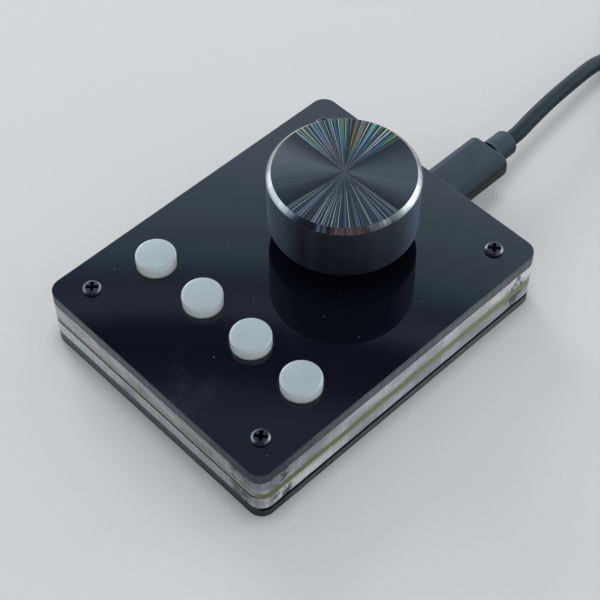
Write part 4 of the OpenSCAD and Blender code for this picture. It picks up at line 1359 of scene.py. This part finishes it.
@dataclass
class Lead:
    """The USB lead: out of its boot, down to the table, six tied turns and a tail to the far plug."""

    diameter: float = 3.6
    start: Point = (3.5, 63.0, 9.75)
    coil_centre: tuple[float, float] = (26.0, 130.0)
    radii: tuple[float, float, float] = (25.2, 21.6, 18.0)
    low: float = 2.4
    high: float = 6.0
    whole_turns: int = 5
    steps: int = 48
    pieces: int = 8
    roundness: int = 8
    inward: tuple[float, float] = (310.0, 360.0)
    climb: tuple[float, float] = (280.0, 325.0)
    outward: tuple[float, float] = (240.0, 290.0)
    lead_points: tuple[Point, ...] = (
        (3.5, 63, 9.75), (3.5, 66, 9.75), (2.7, 72, 9.7), (1.8, 79, 9.4), (1.1, 86, 8.9), (0.5, 92, 8.2), (-0.1, 98, 7),
        (-0.4, 102.5, 5.4), (-0.5, 106.5, 3.9), (-0.4, 110, 2.8), (-0.3, 113.5, 2.4), (0, 118, 2.4), (0.4, 124, 2.4))
    tail_points: tuple[Point, ...] = (
        (29.6, 104.5, 6), (19.5, 103.8, 6), (9.8, 106.9, 6), (2.4, 113.5, 6), (-1.8, 122.5, 6), (-2.7, 132.5, 5.8),
        (-0.1, 142.2, 5.1), (5.6, 150.4, 4.1), (13.8, 156.1, 3.1), (23.5, 158.7, 2.5), (33.5, 157.8, 2.4),
        (42.5, 153.6, 2.4), (49.6, 146.5, 2.4), (53.6, 138.4, 2.4), (55, 130, 2.4), (55, 125, 2.7), (55, 120, 3.5),
        (55, 116, 4), (55, 112, 4))

    @staticmethod
    def eased(angle: float, window: tuple[float, float]) -> float:
        """Gives how far a change has gone: 0 before its window of angles, 1 after it, and eased between."""
        share = min(1.0, max(0.0, (angle - window[0]) / (window[1] - window[0])))
        return share * share * (3 - 2 * share)

    def turn_place(self, turn: int, angle: float) -> Point:
        """Gives a point of the coil.

        Args:
            turn: the turn, 0 to 5; the first three lie on the table.
            angle: the clockwise angle from the coil's left side, in degrees.

        Returns:
            The point, in millimetres.
        """
        outer, middle, inner = self.radii
        first, last = ((outer, middle), (middle, inner), (inner, inner), (inner, middle), (middle, outer),
                       (outer, outer))[turn]
        radius = first + (last - first) * self.eased(angle, self.inward if turn < 2 else self.outward)
        risen = self.eased(angle, self.climb) if turn == 2 else float(turn > 2)
        bearing = math.radians(angle)
        return (self.coil_centre[0] - radius * math.cos(bearing), self.coil_centre[1] + radius * math.sin(bearing),
                self.low + (self.high - self.low) * risen)

    def curve_through(self, points: list[Point]) -> list[Vector]:
        """Draws a smooth line through points.

        Args:
            points: the points.

        Returns:
            The line's points.
        """
        ends = [Vector(points[0]) * 2 - Vector(points[1]), *map(Vector, points),
                Vector(points[-1]) * 2 - Vector(points[-2])]
        line = []
        for i in range(1, len(ends) - 2):
            a, b, c, d = ends[i - 1:i + 3]
            span_1, span_2, span_3 = (max((q - p).length, 1e-6) ** 0.5 for p, q in ((a, b), (b, c), (c, d)))
            lean_b = ((b - a) / span_1 - (c - a) / (span_1 + span_2) + (c - b) / span_2) * span_2
            lean_c = ((c - b) / span_2 - (d - b) / (span_2 + span_3) + (d - c) / span_3) * span_2
            for t in (step / self.pieces for step in range(self.pieces)):
                line.append((2 * t**3 - 3 * t**2 + 1) * b + (t**3 - 2 * t**2 + t) * lean_b
                            + (-2 * t**3 + 3 * t**2) * c + (t**3 - t**2) * lean_c)
        return [*line, Vector(points[-1])]

    def path(self) -> list[Vector]:
        """Gives the whole lead's centreline: the lead, the coil as far as the tail leaves it, and the tail.

        Returns:
            The points, in metres.
        """
        last = self.whole_turns * self.steps + round(self.steps * self.outward[0] / 360)
        coil = [Vector(self.turn_place(step // self.steps, step % self.steps * 360 / self.steps))
                for step in range(last + 1)]
        straight = self.curve_through([*self.lead_points, tuple(coil[0])])[:-1]
        tail = self.curve_through([tuple(coil[-2]), tuple(coil[-1]), *self.tail_points])[self.pieces + 1:]
        return [p * MM for p in (*straight, *coil, *tail)]

    def build(self, on_lead: list[bpy.types.Object]) -> None:
        """Makes the lead as one curve.

        Args:
            on_lead: the separate pieces on it, such as its plugs; not used.
        """
        points = self.path()
        data = bpy.data.curves.new("usb_lead", "CURVE")
        data.dimensions, data.use_fill_caps = "3D", True
        data.bevel_depth, data.bevel_resolution = self.diameter / 2 * MM, self.roundness
        spline = data.splines.new("POLY")
        spline.points.add(len(points) - 1)
        for point, place in zip(spline.points, points):
            point.co = (*place, 1.0)
        spline.use_smooth = True
        data.materials.append(Look.JACKET.material())
        lead = put("usb_lead", data)
        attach(lead, Body.CASE.value)
        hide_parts("cable_lead", "cable_coil", "cable_tail")
        length = sum((b - a).length for a, b in zip(points, points[1:]))
        nodes = [frame["nodes"][name] for name in ("usb_plug_shell", "usb_a_tongue")]
        tuple(v * MM for v in self.start)
        nodes + on_lead
        LOG.info("lead: %.3f m", length)


@dataclass
class CaseLayers:
    """The five layers of the case, with broken edges and polished or cut faces."""

    edge: float = 0.12
    board_edge: float = 0.05
    flat: float = 0.9

    def sheet(self, node: str, slot: Slot, face: Look, cut: Look, broken: float) -> None:
        """Makes one acrylic layer: polished faces and cut edges.

        Args:
            node: the CAD node that it stands for.
            slot: the record's slot.
            face: the finish of its level faces.
            cut: the finish of its cut edges.
            broken: the width of its broken edges, in millimetres.
        """
        mesh = machined_copy(node, broken)
        dress(mesh, face, cut, choose=lambda f: int(abs(f.normal.z) <= self.flat))
        place_piece(f"{node}_sheet", mesh, slot, node)

    def build(self) -> None:
        """Makes the five layers."""
        for node in ("top_plate", "bottom_plate"):
            self.sheet(node, Slot.BLACK_ACRYLIC, Look.BLACK_FACE, Look.BLACK_EDGE, self.edge)
        for node in ("upper_frame", "lower_frame"):
            self.sheet(node, Slot.CLEAR_ACRYLIC, Look.CLEAR_FACE, Look.CLEAR_EDGE, self.edge * 0.5)
        board = machined_copy("circuit_board", self.board_edge, 1)
        dress(board, Look.BOARD)
        place_piece("board_laminate", board, Slot.BOARD, "circuit_board")


@dataclass
class CaseScrews:
    """Four pan-head screws with cross recesses and real threads."""

    inset: tuple[float, float] = (25.2, 33.2)
    head_d: float = 4.0
    head_h: float = 0.8
    shank_d: float = 2.0
    length: float = 14.0
    pitch: float = 0.4
    ridge: float = 0.13
    rim_from: float = 1.5
    recess: Point = (2.6, 0.8, 0.92)
    pit_radii: tuple[float, float] = (0.62, 0.2)
    pit_depth: float = 0.72
    pit_drop: float = 0.4
    turn: float = 45.0
    uneven_turn: float = 0.12
    sides: int = 24
    skin: float = 0.01

    def tree(self) -> GeoTree:
        """Builds the tree: a turned head, its recess, a shank and a thread, at four places.

        Returns:
            The tree.
        """
        tree = GeoTree("CrossHeadScrews", Segments=48, Spacing_X=0.05, Spacing_Y=0.066, Seat=0.015,
                       Shank_Radius=0.001, Length=0.014, Pitch=0.0004, Recess_Arm=(0.0, 0.0, 0.0),
                       Recess_Top=(0.0, 0.0, 0.0), Turn=(0.0, 0.0, 0.0))
        given = tree.given
        arm = tree.add("GeometryNodeMeshCube", Size=given["Recess Arm"])
        pit = tree.add("GeometryNodeMeshCone", Vertices=self.sides, Radius_Top=self.pit_radii[0] * MM,
                       Radius_Bottom=self.pit_radii[1] * MM, Depth=self.pit_depth * MM)
        head = tree.spin()
        for tool in (arm, tree.move(arm, turn=(0, 0, math.pi / 2)), tree.move(pit, (0, 0, -self.pit_drop * MM))):
            head = tree.cut(head, tree.move(tool, given["Recess Top"], given["Turn"]))
        core_radius = given["Shank Radius"] - self.ridge * MM
        core = tree.add("GeometryNodeMeshCylinder", Vertices=self.sides, Radius=core_radius, Depth=given["Length"])
        core = tree.move(core, tree.up(given["Length"] * -0.5))
        thread = tree.move(tree.thread(core_radius, self.ridge * MM, (20, 4)), tree.up(given["Length"] * -1.0))
        grid = tree.add("GeometryNodeMeshGrid", Size_X=given["Spacing X"], Size_Y=given["Spacing Y"], Vertices_X=2,
                        Vertices_Y=2)
        places = tree.add("GeometryNodeSetPosition", Geometry=grid, Offset=tree.up(given["Seat"]))
        wobble = tree.add("FunctionNodeRandomValue", 1, data_type="FLOAT", Min=-self.uneven_turn,
                          Max=self.uneven_turn, Seed=7)
        return tree.close(tree.add("GeometryNodeInstanceOnPoints", Points=places, Rotation=tree.up(wobble),
                                   Instance=tree.join(head, core, thread)))

    def finish_of(self, face: bpy.types.MeshPolygon) -> int:
        """Picks a face's finish.

        Args:
            face: the face.

        Returns:
            0 for the flat and the shank, 1 for the rim with its painted highlight and 2 for the recess with its painted
            shade.
        """
        reach = math.hypot(*(abs(v) / MM - inset for v, inset in zip(face.center, self.inset)))
        rise = face.center.z / MM - PLATE_TOP
        if 0 < rise < self.head_h - self.skin and reach < self.rim_from:
            return 2
        return int(rise > 0 and reach > self.rim_from)

    def build(self) -> None:
        """Makes the screws."""
        r, h = self.head_d / 2, self.head_h
        profile = soften([(0, h, 0), (self.rim_from, h, 0.1), (r - 0.08, h * 0.62, 0.25), (r, h * 0.3, 0.1), (r, 0, 0),
                          (0, 0, 0)])
        mesh = self.tree().bake(
            Look.SCREW, points_mesh(profile), Spacing_X=2 * self.inset[0], Spacing_Y=2 * self.inset[1],
            Seat=PLATE_TOP, Shank_Radius=self.shank_d / 2, Length=self.length, Pitch=self.pitch,
            Recess_Arm=self.recess, Recess_Top=(0.0, 0.0, h), Turn=(0.0, 0.0, self.turn))
        # The rims get a painted highlight and the recesses painted shade
        dress(mesh, Look.SCREW, Look.SCREW_RIM_HIGHLIGHT, Look.SCREW_PIT_SHADE, choose=self.finish_of)
        place_piece("cross_head_screws", mesh, Slot.SCREW_STEEL, "case_screws")


@dataclass
class KeyCaps:
    """Four milky caps with flat tops and softly rounded rims."""

    pitch: float = 14.4
    row: float = -19.0
    radius: float = 4.3
    foot: float = 12.3
    top: float = 17.6
    inner: float = 3.55
    roof: float = 1.2

    def build(self) -> None:
        """Makes the caps, each on its own body."""
        rise = self.top - self.foot
        profile = soften([(0, rise, 0), (self.radius, rise, 0.6), (self.radius, 0, 0.12), (self.inner, 0, 0.08),
                          (self.inner, rise - self.roof, 0.2), (0, rise - self.roof, 0)], 8)
        for number in range(1, 5):
            mesh = turned(profile, ((number - 2.5) * self.pitch, self.row, self.foot), Look.MILKY)
            place_piece(f"cap_{number}", mesh, Slot.MILKY_CAP, f"keycap_{number}", Body(f"key_{number}"))


@dataclass
class SnapDomes:
    """The steel snap domes under the keys and the knob."""

    spare: float = 0.02

    def dome(self, node: str, joint: str) -> None:
        """Makes one dome.

        Args:
            node: the CAD node that it stands for.
            joint: the joint that presses it.
        """
        low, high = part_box(node)
        travel = next(max(j["range_m"]) for j in frame["joints"] if j["name"] == joint)
        mesh = machined_copy(node, 0.0)
        dress(mesh, Look.STEEL)
        piece = place_piece(f"{node}_sprung", mesh, Slot.BRIGHT_STEEL, node)
        keep = 1.0 - (travel + self.spare * MM) / (high.z - low.z)
        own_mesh(piece)

    def build(self) -> None:
        """Makes the five domes."""
        for number in range(1, 5):
            self.dome(f"switch_dome_{number}", f"key_{number}_press")
        self.dome("encoder_dome", "knob_press")


@dataclass
class Knob:
    """The turned knob: satin side, bright cut rim with painted reflections, spun top with painted highlight fans,
    counterbore, bore and set-screw hole.
    """

    radius: float = 15.8
    height: float = 14.0
    taper: float = 0.1
    chamfer: float = 1.0
    foot_chamfer: float = 0.3
    foot: float = 20.2
    bore_r: float = 3.04
    bore_end: float = 9.7
    counterbore_r: float = 6.0
    counterbore_h: float = 1.6
    screw_rise: float = 5.0
    screw_r: float = 1.54
    skin: float = 0.02
    rim_in: float = 0.2

    def drill(self) -> GeoTree:
        """Builds the tree that drills the set screw's hole.

        Returns:
            The tree.
        """
        tree = GeoTree("SideHole", Radius=0.0015, Depth=0.015, Place=(0.0, 0.0, 0.0))
        pin = tree.add("GeometryNodeMeshCylinder", Vertices=32, Radius=tree.given["Radius"], Depth=tree.given["Depth"])
        return tree.close(tree.cut(tree.given, tree.move(pin, tree.given["Place"], (math.pi / 2, 0, 0))))

    def finish_of(self, face: bpy.types.MeshPolygon) -> int:
        """Picks a face's finish.

        Args:
            face: the face.

        Returns:
            0 for the side, 1 for the cut rim and 2 for the top.
        """
        rise = face.center.z / MM - self.foot
        reach = math.hypot(face.center.x, face.center.y - AXIS_Y * MM) / MM
        if rise > self.height - self.skin and reach < self.radius - self.chamfer:
            return 2
        return int(rise > self.height - self.chamfer - self.skin and reach > self.radius - self.chamfer - self.rim_in)

    def build(self) -> None:
        """Makes the knob."""
        low, rim = self.radius - self.taper, self.radius - self.chamfer
        profile = soften([
            (0, self.height, 0), (rim, self.height, 0.06), (self.radius, self.height - self.chamfer, 0.08),
            (low, self.foot_chamfer, 0.1), (low - self.foot_chamfer, 0, 0.1), (self.counterbore_r, 0, 0.05),
            (self.counterbore_r, self.counterbore_h, 0), (self.bore_r, self.counterbore_h, 0.1),
            (self.bore_r, self.bore_end, 0), (0, self.bore_end, 0)])
        mesh = turned(profile, (0.0, AXIS_Y, self.foot), Look.KNOB_SIDE, 160)
        depth = self.radius + 1 - self.bore_r
        mesh = self.drill().bake(Look.KNOB_SIDE, mesh, Radius=self.screw_r, Depth=depth, Place=(
            0.0, AXIS_Y + self.bore_r + depth / 2, self.foot + self.screw_rise))
        dress(mesh, Look.KNOB_SIDE, Look.KNOB_RIM, Look.KNOB_TOP, choose=self.finish_of)
        place_piece("turned_knob", mesh, Slot.ANODISED_KNOB, "knob", Body.DIAL)


@dataclass
class CollarThread:
    """The fine thread on the encoder's collar."""

    low: float = 14.7
    high: float = 19.5
    radius: float = 3.5
    pitch: float = 0.75
    ridge: float = 0.18

    def build(self) -> None:
        """Makes the thread."""
        tree = GeoTree("CollarThread", Radius=0.0035, Pitch=0.00075, Length=0.005, Place=(0.0, 0.0, 0.0))
        tree.close(tree.move(tree.thread(tree.given["Radius"], self.ridge * MM, (48, 6)), tree.given["Place"]))
        mesh = tree.bake(Look.ZINC, points_mesh([(0, 0)]), Radius=self.radius, Pitch=self.pitch,
                         Length=self.high - self.low, Place=(0.0, AXIS_Y, self.low))
        place_piece("collar_thread", mesh, Slot.ZINC_CASTING)


@dataclass
class MouldedPlug:
    """A moulded grip with softened ends and a boot, along Y."""

    name: str
    nodes: tuple[str, str]
    start: Point
    width: float
    height: float
    length: float
    corner: float
    boot_d: float = 6.0
    boot_l: float = 6.0
    flange: float = 0.25
    flange_l: float = 0.9
    round_end: float = 1.0
    least_corner: float = 0.2
    mid_rings: tuple[float, ...] = (0.3, 0.5, 0.7)
    steps: int = 6
    corner_steps: int = 8

    def ring(self, shrink: float, along: float) -> list[Point]:
        """Gives one rounded-oblong ring of points.

        Args:
            shrink: how far it lies inside the full outline, in millimetres.
            along: its distance from the grip's start.

        Returns:
            The points, in metres.
        """
        corner = max(self.least_corner, self.corner - shrink)
        flat_w, flat_h = (size / 2 - shrink - corner for size in (self.width, self.height))
        points = []
        for quarter, (sx, sz) in enumerate(((1, 1), (-1, 1), (-1, -1), (1, -1))):
            for step in range(self.corner_steps + 1):
                angle = math.radians((quarter + step / self.corner_steps) * 90)
                points.append(((self.start[0] + sx * flat_w + corner * math.cos(angle)) * MM,
                               (self.start[1] + along) * MM,
                               (self.start[2] + sz * flat_h + corner * math.sin(angle)) * MM))
        return points

    def grip(self) -> bpy.types.Mesh:
        """Lofts the grip through its rings.

        Returns:
            The grip's mesh.
        """
        angles = [k * math.pi / 2 / self.steps for k in range(self.steps + 1)]
        ends = [(self.round_end * (1 - math.sin(a)), self.round_end * (1 - math.cos(a))) for a in angles]
        rings = [self.ring(shrink, along) for shrink, along in ends]
        rings += [self.ring(0, self.length * share) for share in self.mid_rings]
        rings += [self.ring(shrink, self.length - along) for shrink, along in reversed(ends)]
        count = len(rings[0])
        faces = [(i + k, i + (k + 1) % count, i + count + (k + 1) % count, i + count + k)
                 for i in range(0, (len(rings) - 1) * count, count) for k in range(count)]
        faces += [tuple(range(count)), tuple((len(rings) - 1) * count + k for k in range(count))]
        mesh = bpy.data.meshes.new(self.name)
        mesh.from_pydata([p for ring in rings for p in ring], [], faces)
        tidy_normals(mesh, 50.0)
        dress(mesh, Look.PLUG)
        return mesh

    def boot(self) -> bpy.types.Mesh:
        """Turns the boot, whose free end is rounded over.

        Returns:
            The boot's mesh.
        """
        r, length = self.boot_d / 2, self.boot_l
        profile = soften([(0, 0, 0), (r + self.flange, 0, 0), (r + 0.02, self.flange_l, 0.6), (r, length, 0.9),
                          (0, length, 0)], self.steps)
        place = (self.start[0], self.start[1] + self.length, self.start[2])
        return turned(profile, place, Look.BOOT, 64, (-90.0, 0.0, 0.0))

    def build(self) -> list[bpy.types.Object]:
        """Makes the grip and its boot."""
        return [place_piece(f"{self.name}_{part}", mesh, Slot.PLUG_MOULDING, node)
                for part, mesh, node in zip(("grip", "boot"), (self.grip(), self.boot()), self.nodes)]


@dataclass
class FarContacts:
    """The four contacts on the far plug's tongue."""

    first: Point = (51.5, 79.4, 3.965)
    pitch: float = 2.33
    size: Point = (1.1, 8.4, 0.09)

    def build(self) -> bpy.types.Object:
        """Makes the contacts.

        Returns:
            The piece.
        """
        tree = GeoTree("ContactRow", Count=4, First=(0.0, 0.0, 0.0), Step=(0.0, 0.0, 0.0), Size=(0.0, 0.0, 0.0))
        line = tree.add("GeometryNodeMeshLine", Count=tree.given["Count"], Start_Location=tree.given["First"],
                        Offset=tree.given["Step"])
        strip = tree.add("GeometryNodeMeshCube", Size=tree.given["Size"])
        tree.close(tree.add("GeometryNodeInstanceOnPoints", Points=line, Instance=strip))
        mesh = tree.bake(Look.GOLD, points_mesh([(0, 0)]), First=self.first, Step=(self.pitch, 0.0, 0.0),
                         Size=self.size)
        return place_piece("far_contacts", mesh, Slot.PLUG_STEEL)


@dataclass
class SheetMetal:
    """The far plug's drawn shell and the lead's strap, with broken edges."""

    pieces: tuple[tuple[str, Slot, Look, float], ...] = (
        ("usb_a_shell", Slot.PLUG_STEEL, Look.PLUG_STEEL, 0.08), ("cable_tie", Slot.TIE_FABRIC, Look.STRAP, 0.12))

    def build(self) -> list[bpy.types.Object]:
        """Makes them.

        Returns:
            The pieces, which lie on the lead.
        """
        made = []
        for node, slot, look, edge in self.pieces:
            mesh = machined_copy(node, edge)
            dress(mesh, look)
            made.append(place_piece(f"{node}_dressed", mesh, slot, node))
        return made


def dress_cad() -> None:
    """Gives every CAD node that stays the finish of its slot."""
    for part in frame["record"]["subparts"]:
        dress(frame["nodes"][part["node"]].data, SLOT_LOOKS[Slot(part["material_slot"])])


def main() -> None:
    """Builds the stage and every sub-assembly, and reports the pieces."""
    logging.basicConfig(level=logging.INFO, format="%(message)s")
    Studio().build()
    dress_cad()
    near = MouldedPlug("near_plug", ("usb_plug_body", "usb_plug_boot"), (3.5, 40.6, 9.75), 11.0, 6.2, 16.4, 2.35)
    far = MouldedPlug("far_plug", ("usb_a_body", "usb_a_boot"), (55.0, 86.0, 4.0), 15.6, 8.0, 20.0, 3.04)
    Lead().build(near.build() + far.build() + SheetMetal().build() + [FarContacts().build()])
    for assembly in (CaseLayers(), CaseScrews(), KeyCaps(), SnapDomes(), Knob(), CollarThread()):
        assembly.build()


if __name__ == "__main__":
    main()
